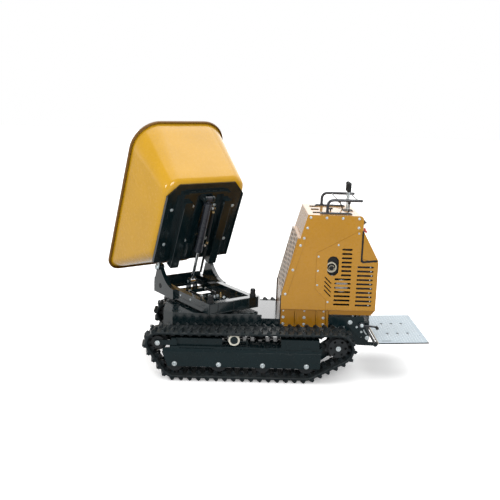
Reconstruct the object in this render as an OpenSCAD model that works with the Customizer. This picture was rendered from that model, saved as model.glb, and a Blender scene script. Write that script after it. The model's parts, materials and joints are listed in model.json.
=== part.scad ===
// Tracked power wheelbarrow with a swivelling tip bucket and a stand-on platform.
// The sub-parts are drawn in the machine's frame: X towards the operator at the
// rear, Y towards the machine's right, Z up from the ground, and X = 0 midway
// between the four bottom rollers. at_seat() moves them to the part's own frame,
// whose origin is where the slew axis meets the top of the deck.

/* [Tracks] */
// Distance between the centre lines of the two tracks
track_gauge = 690; // [680:10:780]
// Width of the rubber belt
belt_w = 180; // [170:5:190]
// Distance between neighbouring bottom rollers
roller_pitch = 303; // [270:1:320]
// Radius of a bottom roller
roller_r = 60; // [50:1:64]
// Position of the front idler's axle along the machine
idler_x = -573; // [-640:1:-560]
// Height of the front idler's axle
idler_z = 263; // [240:1:280]
// Radius of the front idler
idler_r = 66; // [58:1:72]
// Position of the drive sprocket's axle along the machine
sprocket_x = 671; // [660:1:740]
// Height of the drive sprocket's axle
sprocket_z = 250; // [235:1:265]
// Radius of the drive sprocket over its teeth
sprocket_r = 91; // [84:1:94]
// Number of teeth on the drive sprocket
sprocket_teeth = 10; // [8:1:12]
// Height of the tread lugs
lug_h = 22; // [16:1:26]
// Spacing of the tread lugs along the belt
lug_pitch = 60; // [50:1:75]
// Thickness of the belt's carcass
carcass_t = 16; // [12:1:18]
// Height of the guide rails inside the belt
rail_h = 22; // [18:1:24]

/* [Chassis] */
// Height of the deck's top above the ground
deck_z = 434; // [426:1:460]
// Front end of the deck box
deck_front = -555; // [-600:1:-500]
// Rear end of the deck box
deck_rear = 140; // [120:1:200]
// Width of the deck box
deck_w = 500; // [480:2:505]
// Position of the slew axis along the machine
slew_x = -221; // [-240:1:-200]
// Length of the chamfer on the deck's front corners
deck_chamfer = 70; // [40:1:90]

/* [Turntable] */
// Slew angle at rest, clockwise from straight ahead
slew_rest = 55; // [0:1:90]
// Outer radius of the slew ring
ring_r = 165; // [140:1:180]
// Radius of the hole through the slew ring
ring_bore_r = 60; // [45:1:80]
// Distance of the rear beam behind the slew axis
frame_back = 286; // [270:1:310]
// Length of the turntable frame
frame_l = 780; // [740:5:800]
// Width of the turntable frame
frame_w = 414; // [390:2:440]
// Height of the turntable's side channels
frame_h = 75; // [60:1:78]
// Gap between the deck and the turntable frame
ring_h = 19; // [16:1:30]
// Distance of the tip hinge ahead of the slew axis
hinge_back = 378; // [365:1:400]
// Height of the tip hinge above the ground
hinge_z = 655; // [650:1:680]
// Radius of the hinge pins
pin_r = 12; // [9:0.5:15]

/* [Bucket] */
// Tip angle at rest
tip_rest = 68; // [0:1:68]
// Width of the bucket over its rim
rim_w = 796; // [700:2:800]
// Distance from the hinge to the rim at the cab end
rim_back = 968; // [900:1:970]
// Distance from the hinge to the rim at the dump end
rim_front = 307; // [260:1:340]
// Height of the rim over the hinge when the bucket is down
rim_z = 469; // [430:1:480]
// Radius of the rim's corners at the cab end
rim_corner = 212; // [190:1:220]
// Radius of the rim's corners at the dump end
nose_corner = 95; // [70:1:140]
// Thickness of the bucket's sheet
tub_t = 5; // [4:0.5:8]
// Distance from the hinge to the near end of the underframe
base_front = 84; // [70:1:100]
// Distance from the hinge to the far end of the underframe
base_back = 722; // [700:1:740]
// Width of the underframe
base_w = 646; // [600:2:660]
// Height of the tip ram's upper pivot from the hinge, along the bucket
ram_reach = 620; // [600:1:630]

/* [Hood] */
// Width of the hood
hood_w = 500; // [490:2:520]
// Height of the hood's top
hood_z = 1154; // [1120:1:1190]
// Thickness of the hood's sheet
sheet_t = 3; // [2:0.5:4]
// Rise of the grab handles over the hood's top
handle_rise = 96; // [70:1:120]
// Length of a lever above its pivot
lever_l = 259; // [230:1:280]

/* [Platform] */
// Length of the platform
platform_l = 352; // [300:2:400]
// Width of the platform
platform_w = 645; // [560:5:680]
// Height of the platform's front edge
platform_z = 272; // [270:1:280]

/* [Hidden] */
fit = 0.3;                       // running clearance of a shaft or a soft seat
fine = 64;                       // facets of a rounded solid
left = -1;
right = 1;
belt_half = belt_w / 2;
rail_in = 21;                    // inner face of a guide rail from the belt's middle
rail_out = 43;
idler_wrap = idler_r + 0.5;      // radius of the belt's inner face on each wheel
sprocket_wrap = sprocket_r + 0.6;
roller_wrap = roller_r + rail_h + 0.4;
axle_z = lug_h + carcass_t + roller_wrap;
axle_r = 12;
roller_half = 50;
plate_in = 62;                   // inner hanger plate of the track frame
plate_t = 10;
cover_in = 69;                   // inner face of the side cover
cover_t = 6;
beam_z = 196;                    // underside of the track frame's beam
beam_h = 50;
beam_top = beam_z + beam_h;
beam_x0 = -450;
beam_x1 = 560;
carrier_x = -49;
carrier_z = 295;
carrier_axle_r = 8;
motor_r = 55;
deck_t = 10;
rail_z0 = 320;                   // chassis side rails
rail_z1 = 395;
rail_y0 = 190;
rail_y1 = 230;
rail_x0 = deck_front + deck_chamfer;
rail_x1 = 905;
cross_x = [-340, 400];           // cross tubes between the track frames
floor_t = 6;
floor_z = rail_z1 + floor_t;
skirt_y = 241;
skirt_top = 480;
frame_z = deck_z + ring_h;       // underside of the turntable frame
frame_top = frame_z + frame_h;
frame_front = frame_l - frame_back;
beam_w = 50;
ram_x = hinge_back - 98;         // lower ram pivot ahead of the slew axis
ram_z = 540;
ram_drop = 88;                   // upper ram pivot below the hinge line
ram_r = 28;
ram_rod_r = 12;
ram_pin_r = 11;
eye_half = 20;
ram_up = [ram_reach * cos(tip_rest) + ram_drop * sin(tip_rest) - hinge_back,
          ram_reach * sin(tip_rest) - ram_drop * cos(tip_rest) + hinge_z];
ram_low = [-ram_x, ram_z];
ram_len = norm(ram_up - ram_low);
ram_ang = atan2(ram_up[1] - ram_low[1], ram_up[0] - ram_low[0]);
barrel_l = 430;
plate_z = -42;                   // underside of the bucket's underframe plate
rail_drop = 62;                  // depth of the underframe's hat rails
stop_h = 56;                     // height of a bump stop over the rear beam
stop_drop = hinge_z + plate_z - frame_top - stop_h - fit;
bump_y = 180;
arm_y = 233;                     // outer face of a hinge arm
rail_y = 166;                    // middle of a hat rail under the bucket
rail_w = 62;
lip = 12;                        // reach of the rolled rim past the bucket's wall
base_corner = 110;               // radius of the bucket's corners at its floor
hood_half = hood_w / 2;
front_x = 271;                   // hood's front at its foot
knee_z = 583;                    // where the hood's front starts to slope
brow_x = 433;                    // front end of the hood's top
tail_x = 817;                    // rear end of the hood's top
tail_r = 28;
console_top = 1056;
console_low = 840;
back_x = 936;
notch_z = 851;
slope_l = norm([brow_x - front_x, hood_z - knee_z]);
slope_a = atan2(brow_x - front_x, hood_z - knee_z);
mesh_top = 985;
mesh_l = slope_l * (mesh_top - knee_z) / (hood_z - knee_z);
strip_w = 28;
vent_x = 621;
vent_z = 799;
pipe_x = 611;
pipe_z = 789;
handle_y = 185;
tube_r = 10;
lever_x = 735;
lever_z = 1100;
lever_shaft_r = 8;
drive_y = 35;
aux_y = 75;
fold_x = 955;                    // hinge of the platform
fold_z = 236;
fold_r = 9;
bracket_y = rail_y1;
bracket_t = 8;
pedal_x = 848;
pedal_z = 377;

BELT_SIDES = ["left", "right"];

// ---- frames and small helpers -------------------------------------------------

module at_seat() translate([-slew_x, 0, -deck_z]) children();

// A track's own frame: Y = 0 on the belt's middle, +Y outwards on both sides
module on_track(side)
    at_seat() mirror([0, side < 0 ? 1 : 0, 0]) translate([0, track_gauge / 2, 0]) children();

// The turntable's frame: X from the hinge end to the rear beam, Z from the ground
module on_turntable()
    at_seat() translate([slew_x, 0, 0]) rotate([0, 0, -slew_rest]) children();

// The bucket's frame: origin on the hinge axis, X along the floor, Z out of the mouth
module on_tub()
    on_turntable() translate([-hinge_back, 0, hinge_z]) rotate([0, -tip_rest, 0]) children();

// A profile drawn in X and Z, from y0 to y1
module slab(y0, y1)
    translate([0, y1, 0]) rotate([90, 0, 0]) linear_extrude(y1 - y0) children();

module block(x0, x1, y0, y1, z0, z1)
    translate([x0, y0, z0]) cube([x1 - x0, y1 - y0, z1 - z0]);

// A cylinder along Y at (x, z)
module axle(x, z, r, y0, y1)
    translate([x, y1, z]) rotate([90, 0, 0]) cylinder(h = y1 - y0, r = r, $fn = fine);

// A cylinder along X at (y, z)
module along_x(y, z, r, x0, x1)
    translate([x0, y, z]) rotate([0, 90, 0]) cylinder(h = x1 - x0, r = r, $fn = fine);

module both_sides() {
    children();
    mirror([0, 1, 0]) children();
}

// ---- the belt's path ------------------------------------------------------------

wheels = [[-1.5 * roller_pitch, axle_z, roller_wrap],
          [1.5 * roller_pitch, axle_z, roller_wrap],
          [sprocket_x, sprocket_z, sprocket_wrap],
          [idler_x, idler_z, idler_wrap]];

function wheel(i) = wheels[(i + 4) % 4];
function span(a, b) = norm([b[0] - a[0], b[1] - a[1]]);
// Direction of the outward normal on the straight stretch from wheel a to wheel b
function normal(a, b) = atan2(b[1] - a[1], b[0] - a[0]) - 90 + asin((a[2] - b[2]) / span(a, b));
function start_a(i) = normal(wheel(i - 1), wheel(i));
function sweep(i) = ((normal(wheel(i), wheel(i + 1)) - start_a(i)) % 360 + 360) % 360;
function straight(i) = sqrt(pow(span(wheel(i), wheel(i + 1)), 2)
                            - pow(wheel(i)[2] - wheel(i + 1)[2], 2));
function arc_l(i) = (wheel(i)[2] + carcass_t) * sweep(i) * PI / 180;
belt_l = arc_l(0) + arc_l(1) + arc_l(2) + arc_l(3)
       + straight(0) + straight(1) + straight(2) + straight(3);
lugs = round(belt_l / lug_pitch);

// Point at length s along the carcass's outer face, moved out by k
function on_belt(s, k, i = 0) =
    s < arc_l(i) || i > 4 ? on_arc(i, start_a(i) + s / arc_l(i) * sweep(i), k)
    : s < arc_l(i) + straight(i) ?
        on_arc(i, start_a(i) + sweep(i), k)
        + (s - arc_l(i)) * tangent(start_a(i) + sweep(i))
    : on_belt(s - arc_l(i) - straight(i), k, i + 1);
function on_arc(i, a, k) =
    [wheel(i)[0], wheel(i)[1]] + (wheel(i)[2] + carcass_t + k) * [cos(a), sin(a)];
function tangent(a) = [-sin(a), cos(a)];

// Closed outline of the belt's inner face, moved inwards by k
function inner_path(k) = [for (i = [0 : 3]) for (t = [0 : 1 / 24 : 1])
    on_arc(i, start_a(i) + t * sweep(i), -carcass_t - k)];

function lug_path(shift) = [for (n = [0 : lugs - 1])
    let (s = (n + shift) * belt_l / lugs)
    for (q = [[0, 0], [3, lug_h], [23, lug_h], [26, 0], [35, 0], [44, 0]])
        on_belt((s + q[0]) % belt_l, q[1])];

// Height of the belt's inner face on the top run
function top_run(x) = let (a = normal(wheel(2), wheel(3)), w = wheel(3))
    (w[0] * cos(a) + w[1] * sin(a) + w[2] - x * cos(a)) / sin(a);
carrier_r = top_run(carrier_x) - carrier_z - fit;

// ---- tracks ---------------------------------------------------------------------

module belt(side) color([0.10, 0.11, 0.12]) on_track(side) {
    slab(-belt_half, 0) difference() {
        polygon(lug_path(0));
        polygon(inner_path(0));
    }
    slab(0, belt_half) difference() {
        polygon(lug_path(0.5));
        polygon(inner_path(0));
    }
    for (y = [-rail_out, rail_in]) slab(y, y + rail_out - rail_in) difference() {
        polygon(inner_path(-1));
        polygon(inner_path(rail_h));
    }
}

module spool(x, z, r, core_r, bore) translate([x, 0, z]) difference() {
    union() {
        axle(0, 0, r, -roller_half, -rail_in + 2);
        axle(0, 0, r, rail_in - 2, roller_half);
        axle(0, 0, core_r, -roller_half - 8, roller_half + 8);
    }
    axle(0, 0, bore, -roller_half - 9, roller_half + 9);
}

module roller(side, i) color([0.13, 0.14, 0.15])
    on_track(side) spool((i - 2.5) * roller_pitch, axle_z, roller_r, 30, axle_r + fit);

module idler(side) color([0.13, 0.14, 0.15]) on_track(side) difference() {
    union() {
        axle(idler_x, idler_z, idler_r, -rail_in + 7, rail_in - 7);
        axle(idler_x, idler_z, idler_wrap - rail_h - 0.7, -roller_half, roller_half);
    }
    axle(idler_x, idler_z, axle_r + fit, -roller_half - 1, roller_half + 1);
}

module sprocket(side) color([0.13, 0.14, 0.15]) on_track(side)
    translate([sprocket_x, 0, sprocket_z]) difference() {
        union() {
            axle(0, 0, sprocket_r - 14, -10, 10);
            for (k = [0 : sprocket_teeth - 1])
                rotate([0, k * 360 / sprocket_teeth, 0]) slab(-10, 10)
                    polygon([[-15, sprocket_r - 20], [15, sprocket_r - 20],
                             [8, sprocket_r], [-8, sprocket_r]]);
            axle(0, 0, 34, -45, 50);
            axle(0, 0, sprocket_wrap - rail_h - 2, 42, 50);
        }
        for (k = [0 : 5]) rotate([0, k * 60 + 30, 0]) axle(0, 50, 9, -11, 51);
        axle(0, 0, 20, -46, 51);
    }

module carrier(side) color([0.88, 0.86, 0.80]) on_track(side) difference() {
    union() {
        axle(carrier_x, carrier_z, carrier_r, rail_out + 3, rail_out + 21);
        axle(carrier_x, carrier_z, carrier_r, -rail_out - 21, -rail_out - 3);
        axle(carrier_x, carrier_z, 15, -rail_out - 22, rail_out + 22);
    }
    axle(carrier_x, carrier_z, carrier_axle_r + fit, -rail_out - 23, rail_out + 23);
}

module track_frame(side) color([0.12, 0.16, 0.16]) on_track(side) {
    block(beam_x0, beam_x1, -plate_in, plate_in, beam_z, beam_top);
    slab(-plate_in - plate_t, -plate_in) difference() {
        union() {
            polygon([[-500, 150], [-480, 98], [540, 98], [610, 150], [sprocket_x, 175],
                     [sprocket_x, 325], [beam_x1, beam_top], [-500, beam_top]]);
            translate([sprocket_x, sprocket_z]) circle(r = 75, $fn = fine);
        }
        translate([sprocket_x, sprocket_z]) circle(r = 50, $fn = fine);
    }
    for (i = [1 : 4]) let (x = (i - 2.5) * roller_pitch) {
        block(x - 30, x + 30, plate_in, cover_in, axle_z - 20, beam_top);
        axle(x, axle_z, axle_r, -plate_in - 1, cover_in);
    }
    // bracket and axle of the carrier roller
    block(carrier_x - 25, carrier_x + 25, -74, -50, beam_top - 1, beam_top + 6);
    block(carrier_x - 14, carrier_x + 14, -74, -68, beam_top, carrier_z + 14);
    axle(carrier_x, carrier_z, carrier_axle_r, -70, 67);
    axle(carrier_x, carrier_z, 14, 65 + fit, 68);
    // guard box over the rear of the beam
    block(275, 538, -plate_in, plate_in, beam_top - 1, 306);
}

module side_covers() color([0.14, 0.17, 0.17]) for (side = [left, right]) on_track(side) {
    slab(cover_in, cover_in + cover_t)
        polygon([[-542, 221], [-500, 101], [548, 103], [552, 231]]);
    for (i = [1 : 4])
        axle((i - 2.5) * roller_pitch, axle_z, 13, cover_in + cover_t, cover_in + cover_t + 9);
}

module tensioners() color([0.15, 0.18, 0.18]) for (side = [left, right]) on_track(side) {
    difference() {
        union() {
            both_sides() block(idler_x - 22, -440, 52, 60, idler_z - 16, idler_z + 20);
            block(-480, -445, -60, 60, idler_z - 16, 297);
            block(-452, -131, -45, 45, beam_top, 297);
            axle(idler_x, idler_z, axle_r, -66, 66);
        }
        block(-440, -150, -20, 20, beam_top + 8, 285);
    }
    along_x(0, 264, 7, -132, 41);
    block(35, 47, -16, 16, beam_top, 280);
}

module drive_motors() color([0.20, 0.22, 0.23]) for (side = [left, right]) on_track(side) {
    axle(sprocket_x, sprocket_z, 72, -plate_in - plate_t - 12, -plate_in - plate_t);
    axle(sprocket_x, sprocket_z, motor_r, -150, -plate_in - plate_t - 11);
    axle(sprocket_x, sprocket_z, 49.7, -plate_in - plate_t - 1, -56);
    axle(sprocket_x, sprocket_z, 20 - fit, -57, 51);
    axle(sprocket_x, sprocket_z, 27, 50 + fit, 58);
}

// ---- chassis --------------------------------------------------------------------

module chassis_frame() color([0.12, 0.16, 0.16]) at_seat() {
    both_sides() block(rail_x0, rail_x1, rail_y0, rail_y1, rail_z0, rail_z1);
    for (x = [rail_x0, slew_x - 115, slew_x + 75, 250, rail_x1 - 40])
        block(x, x + 40, -rail_y0 - 1, rail_y0 + 1, rail_z0, rail_z1);
    for (x = cross_x) {
        block(x - 30, x + 30, -track_gauge / 2 + plate_in + plate_t,
              track_gauge / 2 - plate_in - plate_t, beam_z, beam_z + 60);
        both_sides() block(x - 30, x + 30, rail_y0, rail_y1, beam_z + 59, rail_z0 + 1);
    }
    // deck plate behind the deck box, the floor that carries the engine, and the rear bulkhead
    block(deck_rear + fit, front_x - fit, 1 - rail_y1, rail_y1 - 1, rail_z1 - 2, floor_z);
    block(front_x + sheet_t, 606, -skirt_y, skirt_y, rail_z1, floor_z);
    block(605, rail_x1, -rail_y1, rail_y1, rail_z1, floor_z);
    block(rail_x1 - 10, rail_x1 - 4, -rail_y1, rail_y1, floor_z - 1, 470);
    // shelf under the fuel tank
    both_sides() block(800, 815, 190, 205, floor_z - 1, 855);
    block(690, 815, -205, 205, 854, 860);
    // pad between the side rails and the deck, bored like the slew ring
    difference() {
        block(slew_x - 115, slew_x + 115, -rail_y0 - 1, rail_y0 + 1, rail_z1 - 1, deck_z - deck_t);
        translate([slew_x, 0, rail_z1 - 2]) cylinder(h = 60, r = ring_bore_r, $fn = fine);
    }
}

module deck_outline(inset) {
    x0 = deck_front + inset;
    half = deck_w / 2 - inset;
    polygon([[x0, -half + deck_chamfer], [x0 + deck_chamfer, -half], [deck_rear - inset, -half],
             [deck_rear - inset, half], [x0 + deck_chamfer, half], [x0, half - deck_chamfer]]);
}

module deck_box() color([0.14, 0.19, 0.19]) at_seat() difference() {
    union() {
        translate([0, 0, deck_z - deck_t]) linear_extrude(deck_t) deck_outline(0);
        translate([0, 0, rail_z0]) linear_extrude(deck_z - deck_t - rail_z0 + 1) difference() {
            deck_outline(0);
            deck_outline(8);
        }
    }
    translate([slew_x, 0, deck_z - deck_t - 1]) cylinder(h = deck_t + 2, r = ring_bore_r, $fn = fine);
    for (y = [left, right]) for (x = [deck_front + 70, deck_rear - 40])
        translate([x, y * (deck_w / 2 - 45), deck_z - deck_t - 1])
            cylinder(h = deck_t + 2, r = 11, $fn = 32);
    // notches where the side rails leave the box
    both_sides() block(deck_rear - 9, deck_rear + 1, rail_y0, rail_y1, rail_z0 - 1, rail_z1);
}

module ring(z0, z1, r, bore) translate([0, 0, z0]) difference() {
    cylinder(h = z1 - z0, r = r, $fn = fine);
    translate([0, 0, -1]) cylinder(h = z1 - z0 + 2, r = bore, $fn = fine);
}

module slew_ring_lower() color([0.30, 0.32, 0.33]) on_turntable() {
    ring(deck_z, deck_z + ring_h / 2, ring_r, ring_bore_r);
}

// ---- turntable ------------------------------------------------------------------

module slew_ring_upper() color([0.25, 0.27, 0.28]) on_turntable() {
    ring(deck_z + ring_h / 2 + fit, frame_z, ring_r - 6, ring_bore_r);
    for (k = [0 : 11]) rotate([0, 0, k * 30 + 15]) translate([ring_r - 25, 0, frame_z + 8])
        cylinder(h = 7, r = 9, $fn = 6);
}

module turntable_frame() color([0.12, 0.16, 0.16]) on_turntable() {
    half = frame_w / 2;
    both_sides() {
        block(-frame_front, frame_back, half - 8, half, frame_z, frame_top);
        block(-frame_front, frame_back, half - 45, half - 7, frame_top - 8, frame_top);
        block(-frame_front, frame_back, half - 45, half - 7, frame_z, frame_z + 8);
        // arm that rises to the tip hinge
        slab(half - 6, arm_y) difference() {
            union() {
                polygon(concat([[-hinge_back + 215, frame_z], [-hinge_back - 70, frame_z],
                                [-hinge_back - 70, frame_top]],
                               [[-hinge_back - 23, hinge_z]],
                               [for (t = [0 : 0.1 : 1]) [-hinge_back + 20 + 195 * t,
                                   frame_top + (hinge_z - frame_top) * pow(1 - t, 2.2)]]));
                translate([-hinge_back, hinge_z]) circle(r = 24, $fn = fine);
            }
            translate([-hinge_back, hinge_z]) circle(r = pin_r + fit, $fn = fine);
        }
    }
    block(frame_back - beam_w, frame_back, -half + 1, half - 1, frame_z, frame_top);
    block(-frame_front, -frame_front + 8, -half + 1, half - 1, frame_z, frame_top + 20);
    block(-frame_front + 1, -frame_front + 40, -half + 1, half - 1, frame_z, frame_z + 8);
    // plate over the slew ring, out to the rear beam
    difference() {
        block(-ring_r - 5, frame_back - beam_w + 1, -half + 1, half - 1, frame_z, frame_z + 8);
        translate([0, 0, frame_z - 1]) cylinder(h = 10, r = ring_bore_r, $fn = fine);
    }
    // ears of the lower ram pivot on their cross beam
    block(-ram_x - 35, -ram_x + 35, -half + 1, half - 1, frame_z, frame_z + 30);
    both_sides() slab(eye_half + 2, eye_half + 14) difference() {
        union() {
            translate([-ram_x - 26, frame_z + 29]) square([52, ram_z - frame_z - 29]);
            translate([-ram_x, ram_z]) circle(r = 26, $fn = fine);
        }
        translate([-ram_x, ram_z]) circle(r = ram_pin_r + fit, $fn = fine);
    }
}

module bump_stops() color([0.07, 0.07, 0.08]) on_turntable() both_sides() {
    translate([frame_back - beam_w / 2, bump_y, frame_top]) cylinder(h = 18, r = 22, $fn = fine);
    translate([frame_back - beam_w / 2, bump_y, frame_top + 17])
        cylinder(h = stop_h - 17, r = 18, $fn = fine);
}

module hinge_pins() color([0.55, 0.57, 0.58]) on_turntable() {
    both_sides() axle(-hinge_back, hinge_z, pin_r, frame_w / 2 - 14, arm_y + 21);
    both_sides() axle(-hinge_back, hinge_z, pin_r + 7, frame_w / 2 - 14, frame_w / 2 - 6);
    both_sides() axle(-hinge_back, hinge_z, pin_r + 5, arm_y + 16 + fit, arm_y + 21);
    axle(-ram_x, ram_z, ram_pin_r, -eye_half - 16, eye_half + 16);
}

// ---- bucket ---------------------------------------------------------------------

// A rounded rectangle at height z, with corners of radius nose at x0 and r at x1
module leaf(x0, x1, w, nose, r, z, h = 0.01) translate([0, 0, z]) linear_extrude(h) hull()
    for (y = [left, right]) {
        translate([x0 + nose, y * (w / 2 - nose)]) circle(r = nose, $fn = 40);
        translate([x1 - r, y * (w / 2 - r)]) circle(r = r, $fn = 40);
    }

module tub_body(inset) hull() {
    leaf(-rim_front + inset + lip, rim_back - inset - lip, rim_w - 2 * (inset + lip),
         nose_corner - inset - lip, rim_corner - inset - lip, rim_z);
    leaf(base_front + 4 + inset, base_back + 22 - inset, base_w + 32 - 2 * inset,
         base_corner - inset, base_corner - inset, plate_z + 12 + inset);
}

module tub() color([0.80, 0.60, 0.14]) on_tub() difference() {
    union() {
        tub_body(0);
        leaf(-rim_front, rim_back, rim_w, nose_corner, rim_corner, rim_z - 20, 20);
    }
    translate([0, 0, 0.02]) tub_body(tub_t);
}

module tub_frame() color([0.12, 0.16, 0.16]) on_tub() {
    translate([0, 0, plate_z]) linear_extrude(11.7) polygon([
        [base_front, -base_w / 2], [base_back - 90, -base_w / 2],
        [base_back, -base_w / 2 + 90], [base_back, base_w / 2 - 90],
        [base_back - 90, base_w / 2], [base_front, base_w / 2]]);
    // hat rails: deep ahead of the bump stops, shallow where they rest on them
    both_sides() block(base_front - 34, frame_back + hinge_back - beam_w - 10, rail_y - rail_w / 2,
                       rail_y + rail_w / 2, plate_z - rail_drop, plate_z + 1);
    both_sides() block(base_front - 34, base_back - 66, rail_y - rail_w / 2, rail_y + rail_w / 2,
                       plate_z - stop_drop, plate_z + 1);
    // cross member that carries the ram's clevis
    block(base_back - 76, base_back - 56, -rail_y, rail_y, plate_z - stop_drop, plate_z + 1);
    block(ram_reach - 30, ram_reach + 30, -60, 60, plate_z - 8, plate_z + 1);
    both_sides() slab(eye_half + 6, eye_half + 16) {
        translate([ram_reach - 24, -ram_drop]) square([48, ram_drop + plate_z]);
        translate([ram_reach, -ram_drop]) circle(r = 24, $fn = fine);
    }
    both_sides() axle(ram_reach, -ram_drop, ram_pin_r, eye_half + 16, eye_half + 30);
    // hinge ears
    both_sides() slab(arm_y + 3, arm_y + 16) difference() {
        union() {
            polygon([[-10, -22], [base_front + 90, plate_z - 4], [base_front + 90, plate_z + 11],
                     [base_front + 2, plate_z + 11], [8, 23]]);
            circle(r = 24, $fn = fine);
        }
        circle(r = pin_r + fit, $fn = fine);
    }
}

// ---- tip ram --------------------------------------------------------------------

// The ram's frame: origin on the lower pivot, X towards the upper pivot
module on_ram()
    on_turntable() translate([ram_low[0], 0, ram_low[1]]) rotate([0, -ram_ang, 0]) children();

module ram_rod() color([0.78, 0.79, 0.80]) on_ram() difference() {
    union() {
        axle(0, 0, 22, -eye_half, eye_half);
        along_x(0, 0, ram_rod_r, 10, ram_len - barrel_l + 30);
        along_x(0, 0, ram_r - 5, ram_len - barrel_l + 20, ram_len - barrel_l + 32);
    }
    axle(0, 0, ram_pin_r + fit, -eye_half - 1, eye_half + 1);
}

module ram_barrel() color([0.12, 0.13, 0.14]) on_ram() difference() {
    union() {
        along_x(0, 0, ram_r, ram_len - barrel_l, ram_len - 34);
        along_x(0, 0, 14, ram_len - 36, ram_len - 15);
        axle(ram_len, 0, 22, -eye_half, eye_half);
    }
    along_x(0, 0, ram_rod_r + fit, ram_len - barrel_l - 1, ram_len - barrel_l + 19);
    along_x(0, 0, ram_r - 5 + fit, ram_len - barrel_l + 18, ram_len - 45);
    axle(ram_len, 0, ram_pin_r, -eye_half - 1, eye_half + 1);
}

module hoses() color([0.06, 0.06, 0.07]) on_turntable()
    for (y = [-1, 1]) translate([0, y * 70, 0]) {
        translate([-60, 0, frame_z + 8]) cylinder(h = 30, r = 9, $fn = 32);
        translate([-60, 0, frame_z + 37]) rotate([0, -90, 0]) cylinder(h = 150, r = 8, $fn = 32);
        translate([-210, 0, frame_z + 37]) sphere(r = 8, $fn = 32);
        translate([-60, 0, frame_z + 37]) sphere(r = 8.5, $fn = 32);
        translate([-210, 0, frame_z + 30]) cylinder(h = 7, r = 8, $fn = 32);
    }

// ---- hood -----------------------------------------------------------------------

module slots(x0, x1, z_top, z_low, count) for (k = [0 : count - 1])
    let (z = z_top + (z_low - z_top) * k / (count - 1)) {
        translate([x0 + 7, z - 7]) square([x1 - x0 - 14, 14]);
        for (x = [x0 + 7, x1 - 7]) translate([x, z]) circle(r = 7, $fn = 32);
    }

// The rounded corner at the rear of the hood's top, from its top to its back
function tail_arc(r) = [for (a = [90 : -7.5 : 0])
    [tail_x - tail_r + r * cos(a), hood_z - tail_r + r * sin(a)]];

module side_sheet() polygon(concat(
    [[front_x, skirt_top], [front_x, knee_z], [brow_x, hood_z]], tail_arc(tail_r),
    [[tail_x, notch_z], [925, 832], [back_x, 832], [back_x, 483], [back_x - 3, skirt_top]]));

module louvres() {
    slots(679, 751, 918, 736, 7);
    slots(637, 752, 706, 524, 7);
    slots(790, 905, 797, 521, 10);
    for (k = [0 : 3]) translate([592, 697 - k * 31]) rotate(-45)
        translate([-34, -4]) square([68, 8]);
}

module hood_left() color([0.74, 0.54, 0.15]) at_seat()
    slab(-hood_half, -hood_half + sheet_t) difference() {
        side_sheet();
        louvres();
        translate([vent_x - 40, vent_z - 30]) square([80, 60]);
        for (z = [-30, 30]) translate([vent_x, vent_z + z]) circle(r = 40, $fn = fine);
    }

module hood_right() color([0.74, 0.54, 0.15]) at_seat()
    slab(hood_half - sheet_t, hood_half) difference() {
        side_sheet();
        louvres();
    }

module hood_top() color([0.74, 0.54, 0.15]) at_seat() difference() {
    slab(-hood_half + sheet_t, hood_half - sheet_t) polygon(concat(
        [[brow_x + 3.4, hood_z]], tail_arc(tail_r),
        [[tail_x, console_top], [tail_x - sheet_t, console_top]],
        [for (k = [12 : -1 : 0]) tail_arc(tail_r - sheet_t)[k]],
        [[brow_x + 3.4, hood_z - sheet_t]]));
    for (y = [-drive_y, drive_y, -aux_y])
        block(lever_x - 32, lever_x + 32, y - 8, y + 8, hood_z - 5, hood_z + 1);
    block(lever_x - 60, lever_x + 24, aux_y - 8, aux_y + 8, hood_z - 5, hood_z + 1);
    translate([609, -42, hood_z - 5]) cylinder(h = 6, r = 6, $fn = 32);
    along_x(-200, 1104, 8, tail_x - 5, tail_x + 1);
}

module hood_front() color([0.74, 0.54, 0.15]) at_seat() {
    half = hood_half - sheet_t;
    inner_x = front_x + sheet_t;
    difference() {
        slab(-half, half) polygon([[front_x, skirt_top], [inner_x, skirt_top],
            [inner_x, knee_z - 0.4], [brow_x + sheet_t, hood_z], [brow_x, hood_z],
            [front_x, knee_z]]);
        translate([front_x, 0, knee_z]) rotate([0, slope_a, 0])
            block(-1, 14, strip_w - half, half - strip_w, 4, mesh_l);
    }
    translate([front_x, 0, knee_z]) rotate([0, slope_a, 0]) both_sides()
        block(sheet_t - 1, 12, half - strip_w, half - strip_w + 3, 6, mesh_l - 2);
}

module front_mesh() color([0.12, 0.13, 0.13]) at_seat() {
    half = hood_half - sheet_t - strip_w - fit;
    translate([front_x, 0, knee_z]) rotate([0, slope_a, 0]) difference() {
        block(4, 7, -half, half, 4, mesh_l - fit);
        for (z = [0 : 7]) for (y = [-4 : 4])
            block(3, 8, y * 46 - 16, y * 46 + 16, 18 + z * 48, 42 + z * 48);
    }
}

module hood_rear() color([0.74, 0.54, 0.15]) at_seat() slab(-hood_half + sheet_t, hood_half - sheet_t)
    polygon([[back_x, 832], [back_x, 483], [905, 446], [rail_x1 - 4, 446], [rail_x1 - 4, 449],
             [903, 449], [back_x - sheet_t, 485], [back_x - sheet_t, 832]]);

module skirt() color([0.74, 0.54, 0.15]) at_seat() {
    both_sides() {
        block(front_x, 610, skirt_y, skirt_y + sheet_t, 353, skirt_top);
        block(front_x, 610, skirt_y, hood_half, skirt_top - sheet_t, skirt_top);
        for (x = [371, 520, 590]) block(x, x + 4, skirt_y + sheet_t - 1, hood_half, 360, skirt_top - 1);
    }
    block(front_x, front_x + sheet_t, -skirt_y - 1, skirt_y + 1, rail_z1, skirt_top);
    block(front_x, front_x + 20, -skirt_y - 1, skirt_y + 1, skirt_top - sheet_t, skirt_top);
}

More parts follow.
